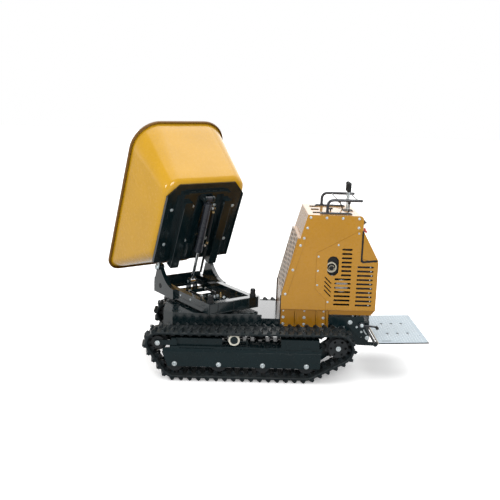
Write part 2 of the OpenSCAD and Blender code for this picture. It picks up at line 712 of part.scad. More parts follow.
module rear_console() color([0.74, 0.54, 0.15]) at_seat() difference() {
    slab(-hood_half, hood_half)
        polygon([[tail_x, console_top], [back_x, console_low], [back_x - 8, 836],
                 [tail_x, notch_z + 3]]);
    slab(-hood_half + sheet_t, hood_half - sheet_t)
        polygon([[tail_x - 1, console_top - 5], [tail_x + 1, console_top - 7],
                 [back_x - 8, console_low + 3], [tail_x + 1, notch_z + 7], [tail_x - 1, notch_z + 7]]);
    on_console(20) translate([0, 0, -10]) cylinder(h = 20, r = 9, $fn = 32);
}

// Frame on the console's slope: Z out of the sheet, t along the slope from its top
module on_console(t) {
    a = atan2(back_x - tail_x, console_top - console_low);
    translate([tail_x + t * sin(a), -190, console_top - t * cos(a)])
        rotate([0, 90 - a, 0]) children();
}

// ---- inside the hood ------------------------------------------------------------

module engine() color([0.22, 0.23, 0.24]) at_seat() {
    block(310, 540, -130, 130, floor_z, 640);
    block(370, 510, -100, 100, 639, 800);
    for (k = [0 : 5]) block(364, 516, -106, 106, 660 + k * 22, 668 + k * 22);
    along_x(0, 540, 95, 539, 575);
    axle(425, 540, 100, 129, 165);
    block(385, 495, -90, 90, 799, 860);
}

module muffler() color([0.45, 0.43, 0.41]) at_seat() difference() {
    union() {
        axle(pipe_x, pipe_z, 62, -205, -60);
        axle(pipe_x, pipe_z, 38, -244, -204);
        along_x(-80, 760, 18, 516 + fit, 560);
    }
    axle(pipe_x, pipe_z, 30, -245, -215);
}

module fuel_tank() color([0.10, 0.10, 0.11]) at_seat() {
    block(692, 812, -200, 200, 860, 1055);
    translate([770, 120, 1054]) cylinder(h = 14, r = 25, $fn = fine);
}

module hydraulic_tank() color([0.15, 0.18, 0.18]) at_seat() {
    block(620, 780, -220, -20, floor_z, 700);
    translate([700, -120, 699]) cylinder(h = 14, r = 22, $fn = fine);
}

module battery() color([0.08, 0.08, 0.09]) at_seat() {
    block(620, 790, 30, 170, floor_z, 590);
    for (x = [650, 760]) translate([x, 60, 589]) cylinder(h = 15, r = 8, $fn = 32);
}

// ---- controls -------------------------------------------------------------------

module bent_tube(r) {
    bend = 25;
    top = hood_z + handle_rise;
    translate([570, 0, hood_z]) cylinder(h = handle_rise - bend, r = r, $fn = 32);
    translate([570 + bend, 0, top - bend]) rotate([90, 0, 0]) rotate([0, 0, 90])
        rotate_extrude(angle = 90, $fn = fine) translate([bend, 0]) circle(r = r, $fn = 32);
    translate([570 + bend, 0, top]) rotate([0, 90, 0]) cylinder(h = 808 - 595 - r, r = r, $fn = 32);
    translate([808 - r, 0, top]) sphere(r = r, $fn = 32);
}

module grab_handles() color([0.08, 0.08, 0.09]) at_seat() {
    both_sides() translate([0, handle_y, 0]) {
        bent_tube(tube_r);
        difference() {
            block(520, 742, -14, 14, hood_z, hood_z + 11);
            translate([570, 0, hood_z - 1]) cylinder(h = 20, r = tube_r - 0.5, $fn = 32);
        }
    }
    for (x = [640, 780]) axle(x, hood_z + handle_rise, 4, -handle_y, handle_y);
}

module lever_bracket() color([0.15, 0.16, 0.17]) at_seat() {
    for (y = [-110, 104]) block(lever_x - 20, lever_x + 20, y, y + 6, lever_z - 16, hood_z - sheet_t);
    axle(lever_x, lever_z, lever_shaft_r, -112, 112);
}

module lever(y, l, lean, r) translate([lever_x, y, lever_z]) rotate([0, lean, 0]) difference() {
    union() {
        axle(0, 0, 14, -9, 9);
        translate([0, 0, 12]) cylinder(h = l - 12, r = r, $fn = 32);
    }
    axle(0, 0, lever_shaft_r + fit, -10, 10);
}

module drive_lever(side) color([0.35, 0.36, 0.37]) at_seat() lever(side * drive_y, lever_l - 20, 0, 5);

module grip(side) color([0.06, 0.06, 0.07]) at_seat()
    translate([lever_x, side * drive_y, lever_z + lever_l - 69]) difference() {
        union() {
            cylinder(h = 55, r = 13, $fn = fine);
            translate([0, 0, 55]) sphere(r = 13, $fn = fine);
        }
        translate([0, 0, -1]) cylinder(h = 50, r = 5, $fn = 32);
    }

module throttle_lever() color([0.08, 0.08, 0.09]) at_seat() {
    lever(aux_y, 112, -24, 4);
    translate([lever_x, aux_y, lever_z]) rotate([0, -24, 0]) translate([0, 0, 118]) sphere(r = 13, $fn = fine);
}

module tip_lever() color([0.08, 0.08, 0.09]) at_seat() {
    lever(-aux_y, 112, 0, 4);
    translate([lever_x, -aux_y, lever_z + 118]) sphere(r = 11, $fn = fine);
}

module park_knob() color([0.07, 0.07, 0.08]) at_seat() translate([609, -42, hood_z]) {
    translate([0, 0, -30]) cylinder(h = 42, r = 5, $fn = 32);
    translate([0, 0, 11]) cylinder(h = 9, r = 15, $fn = fine);
}

module key_knob() color([0.07, 0.07, 0.08]) at_seat() {
    along_x(-200, 1104, 7, tail_x - 12, tail_x + 4);
    along_x(-200, 1104, 16, tail_x + fit, tail_x + 14);
    block(tail_x + 13, tail_x + 24, -216, -184, 1099, 1109);
}

module stop_button() color([0.70, 0.08, 0.07]) at_seat() on_console(20) {
    translate([0, 0, -6]) cylinder(h = 16, r = 8, $fn = 32);
    translate([0, 0, 9]) cylinder(h = 12, r = 19, $fn = fine);
}

// ---- platform -------------------------------------------------------------------

module platform_bracket() color([0.12, 0.16, 0.16]) at_seat() {
    both_sides() slab(bracket_y, bracket_y + bracket_t) difference() {
        union() {
            polygon([[613, 390], [613, 429], [861, 436], [904, 250], [fold_x, fold_z + 12],
                     [fold_x, fold_z - 14], [827, 224]]);
            translate([fold_x, fold_z]) circle(r = 16, $fn = fine);
        }
        translate([fold_x, fold_z]) circle(r = fold_r + fit, $fn = fine);
    }
    block(880, 892, -bracket_y - 1, bracket_y + 1, 226, 300);
    axle(fold_x, fold_z, fold_r, -bracket_y - 19, bracket_y + 19);
    both_sides() axle(pedal_x, pedal_z, 8, bracket_y + bracket_t - 1, bracket_y + bracket_t + 24);
}

module platform() color([0.80, 0.83, 0.86]) at_seat() {
    x0 = fold_x + 10;
    translate([x0, 0, platform_z]) rotate([0, -2.2, 0]) difference() {
        block(0, platform_l, -platform_w / 2, platform_w / 2, -8, 0);
        for (k = [0 : 2]) for (y = [-113, 113]) translate([98 + k * 74, y, -9]) {
            cylinder(h = 10, r = 11, $fn = 32);
            translate([-2, 0, 0]) cube([4, 40, 10]);
        }
        translate([28, -platform_w / 2 + 38, -9]) cube([68, 9, 10]);
    }
    translate([x0, 0, platform_z]) rotate([0, -2.2, 0]) for (y = [-160, 154])
        block(0, platform_l - 20, y, y + 6, -34, -7);
    both_sides() slab(bracket_y + bracket_t + 2, bracket_y + bracket_t + 10) difference() {
        union() {
            polygon([[fold_x - 12, fold_z - 10], [fold_x + 120, platform_z - 2],
                     [fold_x + 11, platform_z - 6]]);
            translate([fold_x, fold_z]) circle(r = 18, $fn = fine);
        }
        translate([fold_x, fold_z]) circle(r = fold_r + fit, $fn = fine);
    }
}

module foot_pedal() color([0.06, 0.06, 0.07]) at_seat() {
    y0 = -bracket_y - bracket_t - 14;
    difference() {
        axle(pedal_x, pedal_z, 20, y0 - 7, y0 + 7);
        axle(pedal_x, pedal_z, 8 + fit, y0 - 8, y0 + 8);
    }
    translate([pedal_x, y0, pedal_z]) rotate([0, 96, 0]) translate([0, 0, 17])
        cylinder(h = 90, r = 7, $fn = 32);
    translate([pedal_x + 106, y0, pedal_z - 11.2]) {
        sphere(r = 7, $fn = 32);
        rotate([90, 0, 0]) cylinder(h = 34, r = 7, $fn = 32);
    }
}

// ---- the part -------------------------------------------------------------------

chassis_frame();
deck_box();
slew_ring_lower();
for (side = [left, right]) {
    tail = side < 0 ? "_left" : "_right";
    track_frame(side);
    belt(side);
    idler(side);
    sprocket(side);
    carrier(side);
    for (i = [1 : 4])
        roller(side, i);
    drive_lever(side);
    grip(side);
}
side_covers();
tensioners();
drive_motors();
hood_left();
hood_right();
hood_top();
hood_front();
front_mesh();
hood_rear();
skirt();
rear_console();
engine();
muffler();
fuel_tank();
hydraulic_tank();
battery();
grab_handles();
lever_bracket();
throttle_lever();
tip_lever();
park_knob();
key_knob();
stop_button();
platform_bracket();
platform();
foot_pedal();
turntable_frame();
slew_ring_upper();
bump_stops();
hinge_pins();
tub();
tub_frame();
ram_barrel();
ram_rod();
hoses();
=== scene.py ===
import json
import math

import bmesh
import bpy
from mathutils import Matrix, Vector


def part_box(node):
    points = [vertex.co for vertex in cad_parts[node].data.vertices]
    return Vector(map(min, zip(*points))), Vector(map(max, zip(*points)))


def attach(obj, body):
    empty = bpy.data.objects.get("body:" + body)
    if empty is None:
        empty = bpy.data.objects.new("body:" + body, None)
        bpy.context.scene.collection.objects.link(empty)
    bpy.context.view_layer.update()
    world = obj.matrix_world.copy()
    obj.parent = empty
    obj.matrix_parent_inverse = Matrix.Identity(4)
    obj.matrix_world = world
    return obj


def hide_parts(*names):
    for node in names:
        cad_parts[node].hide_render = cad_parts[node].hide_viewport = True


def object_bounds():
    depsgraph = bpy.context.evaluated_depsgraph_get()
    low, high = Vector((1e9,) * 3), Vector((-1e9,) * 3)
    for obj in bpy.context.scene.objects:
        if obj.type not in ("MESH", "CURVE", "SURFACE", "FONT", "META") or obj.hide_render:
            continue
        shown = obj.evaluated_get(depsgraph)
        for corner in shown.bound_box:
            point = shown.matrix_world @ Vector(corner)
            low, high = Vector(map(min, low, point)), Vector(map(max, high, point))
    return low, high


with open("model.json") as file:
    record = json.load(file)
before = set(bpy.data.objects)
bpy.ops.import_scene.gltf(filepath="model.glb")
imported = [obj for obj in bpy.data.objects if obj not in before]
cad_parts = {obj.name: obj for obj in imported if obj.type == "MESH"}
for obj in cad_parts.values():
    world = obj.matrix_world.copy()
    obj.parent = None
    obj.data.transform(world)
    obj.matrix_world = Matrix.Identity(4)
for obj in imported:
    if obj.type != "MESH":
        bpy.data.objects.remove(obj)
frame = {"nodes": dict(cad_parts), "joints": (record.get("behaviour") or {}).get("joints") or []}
cad_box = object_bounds()
nodes = frame["nodes"]

# ---- the machine's own frame ----------------------------------------------------
# Every piece is drawn in millimetres as the maker's drawing has it: X towards the
# operator at the rear, Y towards the machine's right, Z up from the ground, and
# X = 0 midway between the four bottom rollers. Each seat below takes such a
# drawing to its place on the machine, in metres.
MM = 0.001
LEFT, RIGHT = -1, 1


def middle(node):
    low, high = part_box(node)
    return (low + high) / 2


ROLLER_MID = (middle("roller_left_2") + middle("roller_left_3")) / 2
GROUND = Vector(cad_box[0]).z
MACHINE = Matrix.Translation((ROLLER_MID.x, 0, GROUND)) @ Matrix.Scale(MM, 4)


def drawn(point):
    """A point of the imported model, in the drawing's millimetres."""
    return MACHINE.inverted() @ Vector(point)


joint = {j["name"]: j for j in frame["joints"]}
tip_axis = Vector(joint["tip"]["axis"])
SLEWED = math.atan2(tip_axis.x, tip_axis.y)
TIPPED = math.radians(max(joint["tip"]["range_deg"]))
SLEW_X = drawn((0, 0, 0)).x
DECK_Z = drawn((0, 0, 0)).z
TURNTABLE = MACHINE @ Matrix.Translation((SLEW_X, 0, 0)) @ Matrix.Rotation(-SLEWED, 4, "Z")
HINGE = TURNTABLE.inverted() @ Vector(joint["tip"]["pos_m"])
TUB = TURNTABLE @ Matrix.Translation(HINGE) @ Matrix.Rotation(-TIPPED, 4, "Y")
RAM_FOOT = TURNTABLE.inverted() @ Vector(joint["ram_swing"]["pos_m"])
RAM_RISE = math.asin(Vector(joint["ram_stroke"]["axis"]).z)
RAM = TURNTABLE @ Matrix.Translation(RAM_FOOT) @ Matrix.Rotation(-RAM_RISE, 4, "Y")


def track_seat(side):
    """A track's seat: Y = 0 on the belt's middle, +Y outwards on both sides."""
    out = Matrix.Diagonal((1, side, 1, 1))
    return MACHINE @ Matrix.Translation((0, drawn(middle(f"belt_{NAMES[side]}")).y, 0)) @ out


NAMES = {LEFT: "left", RIGHT: "right"}

# ---- camera, floor and studio light ----------------------------------------------
# The camera stands level with the bucket's rim, five metres off the left track. The
# studio is a white floor and backdrop under a broad overhead panel, darker behind the
# camera, so that paint turned to the camera keeps its depth and what faces up shines.
camera = bpy.data.objects.new("camera", bpy.data.cameras.new("camera"))
camera.data.lens = 52.57
camera.data.sensor_width = 36
camera.data.clip_end = 60
yaw, pitch, roll = math.radians(1.26), math.radians(12.24), math.radians(1.93)
ahead = Vector((math.sin(yaw) * math.cos(pitch), math.cos(yaw) * math.cos(pitch), -math.sin(pitch)))
level = Vector((math.cos(yaw), -math.sin(yaw), 0))
upright = level.cross(ahead)
across = level * math.cos(roll) + upright * math.sin(roll)
upward = upright * math.cos(roll) - level * math.sin(roll)
camera.matrix_world = Matrix.Translation((0.1555, -5.161, 1.528)) @ Matrix(
    (across, upward, -ahead)).transposed().to_4x4()
bpy.context.scene.collection.objects.link(camera)
bpy.context.scene.camera = camera

FLOOR_HALF = 30
floor_shape = bmesh.new()
bmesh.ops.create_grid(floor_shape, x_segments=1, y_segments=1, size=FLOOR_HALF,
                      matrix=Matrix.Translation((0, 0, GROUND - 0.0005)))
floor = bpy.data.objects.new("studio_floor", bpy.data.meshes.new("studio_floor"))
floor_shape.to_mesh(floor.data)
floor_shape.free()
bpy.context.scene.collection.objects.link(floor)
floor_finish = bpy.data.materials.new("pale_floor")
floor_finish.use_nodes = True
floor_shader = floor_finish.node_tree.nodes["Principled BSDF"]
tree = floor_finish.node_tree
tone = tree.nodes.new("ShaderNodeMapRange")     # gives the machine less light back than it shows
tone.inputs["To Min"].default_value, tone.inputs["To Max"].default_value = 0.42, 0.95
tree.links.new(tree.nodes.new("ShaderNodeLightPath").outputs["Is Camera Ray"], tone.inputs["Value"])
tree.links.new(tone.outputs["Result"], floor_shader.inputs["Base Color"])
glow = tree.nodes.new("ShaderNodeMapRange")     # keeps the shadow under the tracks soft
glow.inputs["To Max"].default_value = 0.24
tree.links.new(tree.nodes.new("ShaderNodeLightPath").outputs["Is Camera Ray"], glow.inputs["Value"])
tree.links.new(glow.outputs["Result"], floor_shader.inputs["Emission Strength"])
floor_shader.inputs["Emission Color"].default_value = (1, 1, 1, 1)
floor_shader.inputs["Roughness"].default_value = 0.95
floor_shader.inputs["Specular IOR Level"].default_value = 0.0
floor.data.materials.append(floor_finish)

world = bpy.data.worlds.new("studio")
world.use_nodes = True
sky = world.node_tree
lit, shown = sky.nodes["Background"], sky.nodes.new("ShaderNodeBackground")
direction = sky.nodes.new("ShaderNodeSeparateXYZ")
sky.links.new(sky.nodes.new("ShaderNodeTexCoord").outputs["Generated"], direction.inputs[0])
backdrop = sky.nodes.new("ShaderNodeMapRange")
backdrop.interpolation_type = "SMOOTHSTEP"
sky.links.new(direction.outputs["Y"], backdrop.inputs["Value"])
for key, value in (("From Min", -0.35), ("From Max", 0.45), ("To Min", 0.40), ("To Max", 1.60)):
    backdrop.inputs[key].default_value = value
sky.links.new(backdrop.outputs["Result"], lit.inputs["Strength"])
lit.inputs["Color"].default_value = shown.inputs["Color"].default_value = (1, 1, 1, 1)
seen = sky.nodes.new("ShaderNodeMixShader")
sky.links.new(sky.nodes.new("ShaderNodeLightPath").outputs["Is Camera Ray"], seen.inputs["Fac"])
sky.links.new(lit.outputs[0], seen.inputs[1])
sky.links.new(shown.outputs[0], seen.inputs[2])
sky.links.new(seen.outputs[0], sky.nodes["World Output"].inputs["Surface"])
bpy.context.scene.world = world
bpy.context.scene.view_settings.view_transform = "Standard"

panel = bpy.data.objects.new("overhead_panel", bpy.data.lights.new("overhead_panel", "SUN"))
panel.data.energy = 1.35
panel.data.angle = math.radians(75)
panel.rotation_euler = (math.radians(-8), math.radians(6), 0)
bpy.context.scene.collection.objects.link(panel)


def softbox(name, place, aim, size, power):
    lamp = bpy.data.objects.new(name, bpy.data.lights.new(name, "AREA"))
    lamp.data.shape = "SQUARE"
    lamp.data.size = size
    lamp.data.energy = power
    lamp.location = place
    lamp.rotation_euler = (Vector(aim) - Vector(place)).to_track_quat("-Z", "Y").to_euler()
    bpy.context.scene.collection.objects.link(lamp)


softbox("key", (-3.3, -2.6, 2.2), (-0.3, 0.1, 0.6), 1.2, 55)
softbox("fill", (1.2, -4.6, 2.4), (0.3, 0, 0.2), 2.0, 112)

# ---- painted and worn surfaces -----------------------------------------------------
# One surface group carries what every finish here has: a slow drift of tone, fine
# grain, bare or rubbed edges and a film of dust on what faces up.


def surface_group():
    group = bpy.data.node_groups.new("weathered_surface", "ShaderNodeTree")
    face = group.interface
    face.new_socket("Colour", in_out="INPUT", socket_type="NodeSocketColor")
    for name, value in (("Drift", 0.06), ("Grain size", 900.0), ("Grain depth", 0.1), ("Roughness", 0.4),
                        ("Roughness spread", 0.1), ("Dust", 0.1), ("Edge wear", 0.2)):
        socket = face.new_socket(name, in_out="INPUT", socket_type="NodeSocketFloat")
        socket.default_value = value
    face.new_socket("Worn colour", in_out="INPUT", socket_type="NodeSocketColor")
    face.new_socket("Dust colour", in_out="INPUT", socket_type="NodeSocketColor")
    face.new_socket("Colour", in_out="OUTPUT", socket_type="NodeSocketColor")
    face.new_socket("Roughness", in_out="OUTPUT", socket_type="NodeSocketFloat")
    face.new_socket("Normal", in_out="OUTPUT", socket_type="NodeSocketVector")
    tree, link = group.nodes, group.links.new
    given, out = tree.new("NodeGroupInput"), tree.new("NodeGroupOutput")
    place = tree.new("ShaderNodeTexCoord").outputs["Object"]
    shape = tree.new("ShaderNodeNewGeometry")

    def noise(scale, detail):
        node = tree.new("ShaderNodeTexNoise")
        node.inputs["Detail"].default_value = detail
        link(place, node.inputs["Vector"])
        if isinstance(scale, float):
            node.inputs["Scale"].default_value = scale
        else:
            link(scale, node.inputs["Scale"])
        return node.outputs["Fac"]

    def ramp(value, low, high, to_low, to_high):
        node = tree.new("ShaderNodeMapRange")
        link(value, node.inputs["Value"])
        for socket, amount in zip(("From Min", "From Max", "To Min", "To Max"), (low, high, to_low, to_high)):
            if isinstance(amount, (int, float)):
                node.inputs[socket].default_value = amount
            else:
                link(amount, node.inputs[socket])
        return node.outputs["Result"]

    def sum_of(kind, a, b):
        node = tree.new("ShaderNodeMath")
        node.operation = kind
        for socket, value in zip(node.inputs, (a, b)):
            if isinstance(value, (int, float)):
                socket.default_value = value
            else:
                link(value, socket)
        return node.outputs[0]

    def mix(amount, a, b):
        node = tree.new("ShaderNodeMix")
        node.data_type = "RGBA"
        link(amount, node.inputs["Factor"])
        link(a, node.inputs["A"])
        link(b, node.inputs["B"])
        return node.outputs["Result"]

    cloud, fleck = noise(5.0, 4), noise(38.0, 5)
    grain = noise(given.outputs["Grain size"], 2)
    shade = tree.new("ShaderNodeVectorMath")
    shade.operation = "SCALE"
    link(given.outputs["Colour"], shade.inputs[0])
    link(sum_of("ADD", 1.0, sum_of("MULTIPLY", given.outputs["Drift"], ramp(cloud, 0.3, 0.7, -1, 1))),
         shade.inputs["Scale"])
    edge = ramp(shape.outputs["Pointiness"], 0.52, 0.62, 0, 1)
    worn = sum_of("MULTIPLY", sum_of("MULTIPLY", edge, given.outputs["Edge wear"]), ramp(fleck, 0.4, 0.6, 0, 1))
    tone = mix(worn, shade.outputs[0], given.outputs["Worn colour"])
    facing = tree.new("ShaderNodeSeparateXYZ")
    link(shape.outputs["Normal"], facing.inputs[0])
    film = sum_of("MULTIPLY", ramp(facing.outputs["Z"], 0.2, 1, 0, 1), ramp(fleck, 0.35, 0.7, 0.3, 1))
    film = sum_of("MULTIPLY", film, given.outputs["Dust"])
    link(mix(film, tone, given.outputs["Dust colour"]), out.inputs["Colour"])
    gloss = sum_of("ADD", given.outputs["Roughness"],
                   sum_of("MULTIPLY", given.outputs["Roughness spread"], ramp(fleck, 0.3, 0.7, -1, 1)))
    link(sum_of("ADD", gloss, sum_of("MULTIPLY", film, 0.3)), out.inputs["Roughness"])
    bump = tree.new("ShaderNodeBump")
    bump.inputs["Distance"].default_value = MM
    link(given.outputs["Grain depth"], bump.inputs["Strength"])
    link(grain, bump.inputs["Height"])
    link(bump.outputs["Normal"], out.inputs["Normal"])
    return group


SURFACE = surface_group()


def finish_of(name, colour, metallic=0.0, coat=0.0, specular=0.4, worn=(0.5, 0.5, 0.48), film=(0.55, 0.52, 0.46),
              **values):
    """A finish on the shared surface group; values are the group's inputs by name."""
    made = bpy.data.materials.new(name)
    made.use_nodes = True
    tree = made.node_tree
    shader = tree.nodes["Principled BSDF"]
    shader.inputs["Metallic"].default_value = metallic
    shader.inputs["Coat Weight"].default_value = coat
    shader.inputs["Coat Roughness"].default_value = 0.12
    shader.inputs["Specular IOR Level"].default_value = specular
    skin = tree.nodes.new("ShaderNodeGroup")
    skin.node_tree = SURFACE
    skin.inputs["Colour"].default_value = (*colour, 1)
    skin.inputs["Worn colour"].default_value = (*worn, 1)
    skin.inputs["Dust colour"].default_value = (*film, 1)
    for key, value in values.items():
        skin.inputs[key.replace("_", " ").capitalize()].default_value = value
    tree.links.new(skin.outputs["Colour"], shader.inputs["Base Color"])
    tree.links.new(skin.outputs["Roughness"], shader.inputs["Roughness"])
    tree.links.new(skin.outputs["Normal"], shader.inputs["Normal"])
    return made


def dress(finish, *names):
    """Gives CAD nodes a finish; their meshes stay as they are."""
    for name in names:
        nodes[name].data.materials.clear()
        nodes[name].data.materials.append(finish)


# ---- rubber belts --------------------------------------------------------------------
# Each belt is one endless moulding: a flat carcass with two staggered rows of slanted
# tread lugs outside, and two rows of guide horns inside that run over the rollers.
track_rubber = finish_of("moulded_track_rubber", (0.006, 0.011, 0.013), specular=0.22, drift=0.2, grain_size=480.0,
                         grain_depth=0.30, roughness=0.40, roughness_spread=0.10, dust=0.04, edge_wear=0.3,
                         worn=(0.05, 0.055, 0.06))
CARCASS, LUG_H, LUG_PITCH, BELT_HALF = 16, 22, 60, 90
HORN_IN, HORN_OUT, HORN_H = 21, 43, 21
ROLLER_R, IDLER_R, SPROCKET_R = 60 + 22.4, 66.5, 91.6   # radii of the belt's inner face on its wheels


def settle(name, shape, seat, body, finish, replaces=(), bevel=0.0, segments=2, smooth=35.0):
    """Turns a drawn bmesh into a piece of the machine: placed, closed, rounded and riding on its body."""
    bmesh.ops.transform(shape, matrix=seat, verts=shape.verts)
    bmesh.ops.remove_doubles(shape, verts=shape.verts, dist=1e-6)
    bmesh.ops.recalc_face_normals(shape, faces=shape.faces)
    mesh = bpy.data.meshes.new(name)
    shape.to_mesh(mesh)
    shape.free()
    piece = bpy.data.objects.new(name, mesh)
    bpy.context.scene.collection.objects.link(piece)
    mesh.materials.append(finish)
    if bevel:
        rounding = piece.modifiers.new("rounded_edges", "BEVEL")
        rounding.width = bevel * MM
        rounding.segments = segments
        rounding.limit_method = "ANGLE"
        rounding.angle_limit = math.radians(40)
        rounding.harden_normals = False
    mesh.polygons.foreach_set("use_smooth", [True] * len(mesh.polygons))
    mesh.set_sharp_from_angle(angle=math.radians(smooth))
    if bevel:
        weighted = piece.modifiers.new("even_shading", "WEIGHTED_NORMAL")
        weighted.keep_sharp = True
    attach(piece, body)
    if replaces:
        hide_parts(*replaces)
    return piece


def block(shape, x0, x1, y0, y1, z0, z1):
    """A box between two corners; returns its vertices."""
    size = Matrix.Diagonal((x1 - x0, y1 - y0, z1 - z0, 1))
    centre = Matrix.Translation(((x0 + x1) / 2, (y0 + y1) / 2, (z0 + z1) / 2))
    return bmesh.ops.create_cube(shape, size=1, matrix=centre @ size)["verts"]


def round_bar(shape, start, end, r, r_end=None, sides=24):
    """A solid bar or cone between two points; returns its vertices."""
    start, end = Vector(start), Vector(end)
    turn = (end - start).to_track_quat("Z", "Y").to_matrix().to_4x4()
    return bmesh.ops.create_cone(shape, cap_ends=True, segments=sides, radius1=r,
                                 radius2=r if r_end is None else r_end, depth=(end - start).length,
                                 matrix=Matrix.Translation((start + end) / 2) @ turn)["verts"]


def belt_wheels():
    """Centre and radius of the belt's inner face on each wheel, in the order that the belt passes them."""
    spots = ("roller_left_1", ROLLER_R), ("roller_left_4", ROLLER_R), ("sprocket_left", SPROCKET_R), (
        "idler_left", IDLER_R)
    return [(drawn(middle(name)).xz, r + CARCASS) for name, r in spots]


def belt_stretches():
    """The belt's outer face as arcs and straights: (length, point at a share of it, outward angle there)."""
    wheels = belt_wheels()

    def leaving(a, b):
        gap = b[0] - a[0]
        return math.atan2(gap.y, gap.x) - math.pi / 2 + math.asin((a[1] - b[1]) / gap.length)

    out = []
    for i, wheel in enumerate(wheels):
        after = wheels[(i + 1) % 4]
        first, last = leaving(wheels[i - 1], wheel), leaving(wheel, after)
        turn = (last - first) % (2 * math.pi)
        out.append(("arc", wheel, first, turn, turn * wheel[1]))
        start = wheel[0] + wheel[1] * Vector((math.cos(last), math.sin(last)))
        end = after[0] + after[1] * Vector((math.cos(last), math.sin(last)))
        out.append(("straight", start, last, end - start, (end - start).length))
    return out


STRETCHES = belt_stretches()
BELT_LENGTH = sum(s[4] for s in STRETCHES)


def on_belt(s, y, out):
    """The drawing's point at length s along the belt's outer face, y across it and out beyond it."""
    s %= BELT_LENGTH
    for kind, a, angle, b, length in STRETCHES:
        if s <= length:
            break
        s -= length
    if kind == "arc":
        angle += b * s / length
        spot = a[0] + a[1] * Vector((math.cos(angle), math.sin(angle)))
    else:
        spot = a + b * s / length
    spot = spot + out * Vector((math.cos(angle), math.sin(angle)))
    return Vector((spot.x, y, spot.y))


def bent_round(shape):
    """Bends a belt that is drawn flat (X along it, Y across, Z outwards) round its wheels."""
    for v in shape.verts:
        v.co = on_belt(v.co.x, v.co.y, v.co.z)


def carcass(shape):
    """The flat band with rounded edges, swept along the belt's whole length in short steps."""
    steps = 220
    edge = [(-BELT_HALF + 4, 0), (BELT_HALF - 4, 0), (BELT_HALF, -4), (BELT_HALF, -CARCASS + 4),
            (BELT_HALF - 4, -CARCASS), (-BELT_HALF + 4, -CARCASS), (-BELT_HALF, -CARCASS + 4), (-BELT_HALF, -4)]
    ring = [shape.verts.new((0, y, z)) for y, z in edge]
    wires = [shape.edges.new((ring[i - 1], ring[i])) for i in range(len(ring))]
    bmesh.ops.spin(shape, geom=ring + wires, cent=(0, 0, 0), axis=(0, 0, 1), angle=0, steps=steps,
                   dvec=(BELT_LENGTH / steps, 0, 0), use_merge=False)


def lug(shape, x, side):
    """A slanted tread lug with a long outer foot, a raised slanted rib and a heel by the belt's middle."""
    for length, inner, outer, height, lean in ((15, 12, 84, LUG_H, 15), (26, 56, 89, 15, 11), (26, 6, 30, 15, 3)):
        bar = block(shape, 0, length, inner, outer, -1, height)
        for v in bar:
            tall = max(v.co.z, 0) / height
            v.co.x += lean * (v.co.y - inner) / (outer - inner) + (2.5 * tall if v.co.x < length / 2 else -4 * tall)
            v.co.y += (3 if v.co.y < (inner + outer) / 2 else -3) * tall
        for v in bar:
            v.co = Vector((v.co.x + x, v.co.y * side, v.co.z))


def horn(shape, x, y0, y1):
    """A guide horn: a stub with sloping ends that stands up from the carcass's inner face."""
    stub = block(shape, x - 17, x + 17, y0, y1, -CARCASS - HORN_H, -CARCASS + 1)
    for v in stub:
        if v.co.z < -CARCASS:
            v.co.x = x + (v.co.x - x) * 0.62


lug_count = round(BELT_LENGTH / LUG_PITCH)
for side in (LEFT, RIGHT):
    belt = bmesh.new()
    carcass(belt)
    for k in range(lug_count):
        spot = k * BELT_LENGTH / lug_count
        lug(belt, spot, 1)
        lug(belt, spot + LUG_PITCH / 2, -1)
        for sign in (-1, 1):
            horn(belt, spot + LUG_PITCH / 4, *sorted((sign * HORN_IN, sign * HORN_OUT)))
    bent_round(belt)
    settle(f"rubber_belt_{NAMES[side]}", belt, track_seat(side), "chassis", track_rubber,
           replaces=[f"belt_{NAMES[side]}"], smooth=40)

# ---- track wheels, frames and covers -------------------------------------------------
# Cast rollers, idler and sprocket run on axles in a welded hanger frame. A folded steel
# cover closes the side of each frame, and plated cap bolts hold the axles through it.
side_paint = finish_of("shaded_green_black_paint", (0.0040, 0.0125, 0.0150), coat=0.15, specular=0.2, drift=0.15,
                       grain_size=600.0, grain_depth=0.06, roughness=0.24, roughness_spread=0.06, dust=0.0,
                       edge_wear=0.0)
zinc = finish_of("zinc_plate", (0.66, 0.72, 0.74), metallic=0.85, drift=0.10, grain_size=300.0, grain_depth=0.1,
                 roughness=0.30, roughness_spread=0.08, dust=0.03, edge_wear=0.0)
cast_iron = finish_of("dark_casting", (0.012, 0.015, 0.017), specular=0.35, drift=0.25, grain_size=260.0,
                      grain_depth=0.5, roughness=0.45, roughness_spread=0.10, dust=0.06, edge_wear=0.0)
cream_nylon = finish_of("cream_nylon", (0.70, 0.68, 0.58), drift=0.05, grain_size=500.0, grain_depth=0.15,
                        roughness=0.40, dust=0.04, edge_wear=0.0)
WHEEL_NODES = [n for n in nodes if n.startswith(("roller_", "idler_", "sprocket_"))]
dress(cast_iron, *WHEEL_NODES, "drive_motors")
dress(cream_nylon, "carrier_left", "carrier_right")
dress(side_paint, "track_frame_left", "track_frame_right", "tensioners")
COVER_OUT = 75
COVER = [(-542, 206), (-500, 101), (548, 103), (552, 214)]


def plate(shape, outline, y0, y1, holes=()):
    """A flat plate cut from its outline in X and Z, with holes, y0 to y1 thick."""
    loops = []
    for points in (outline, *holes):
        ring = [shape.verts.new((x, y0, z)) for x, z in points]
        loops += [shape.edges.new((ring[i - 1], ring[i])) for i in range(len(ring))]
    cut = bmesh.ops.triangle_fill(shape, use_beauty=True, use_dissolve=False, edges=loops, normal=(0, 1, 0))
    faces = [f for f in cut["geom"] if isinstance(f, bmesh.types.BMFace)]
    grown = bmesh.ops.extrude_face_region(shape, geom=faces, use_keep_orig=True)
    far_side = [v for v in grown["geom"] if isinstance(v, bmesh.types.BMVert)]
    bmesh.ops.translate(shape, vec=(0, y1 - y0, 0), verts=far_side)


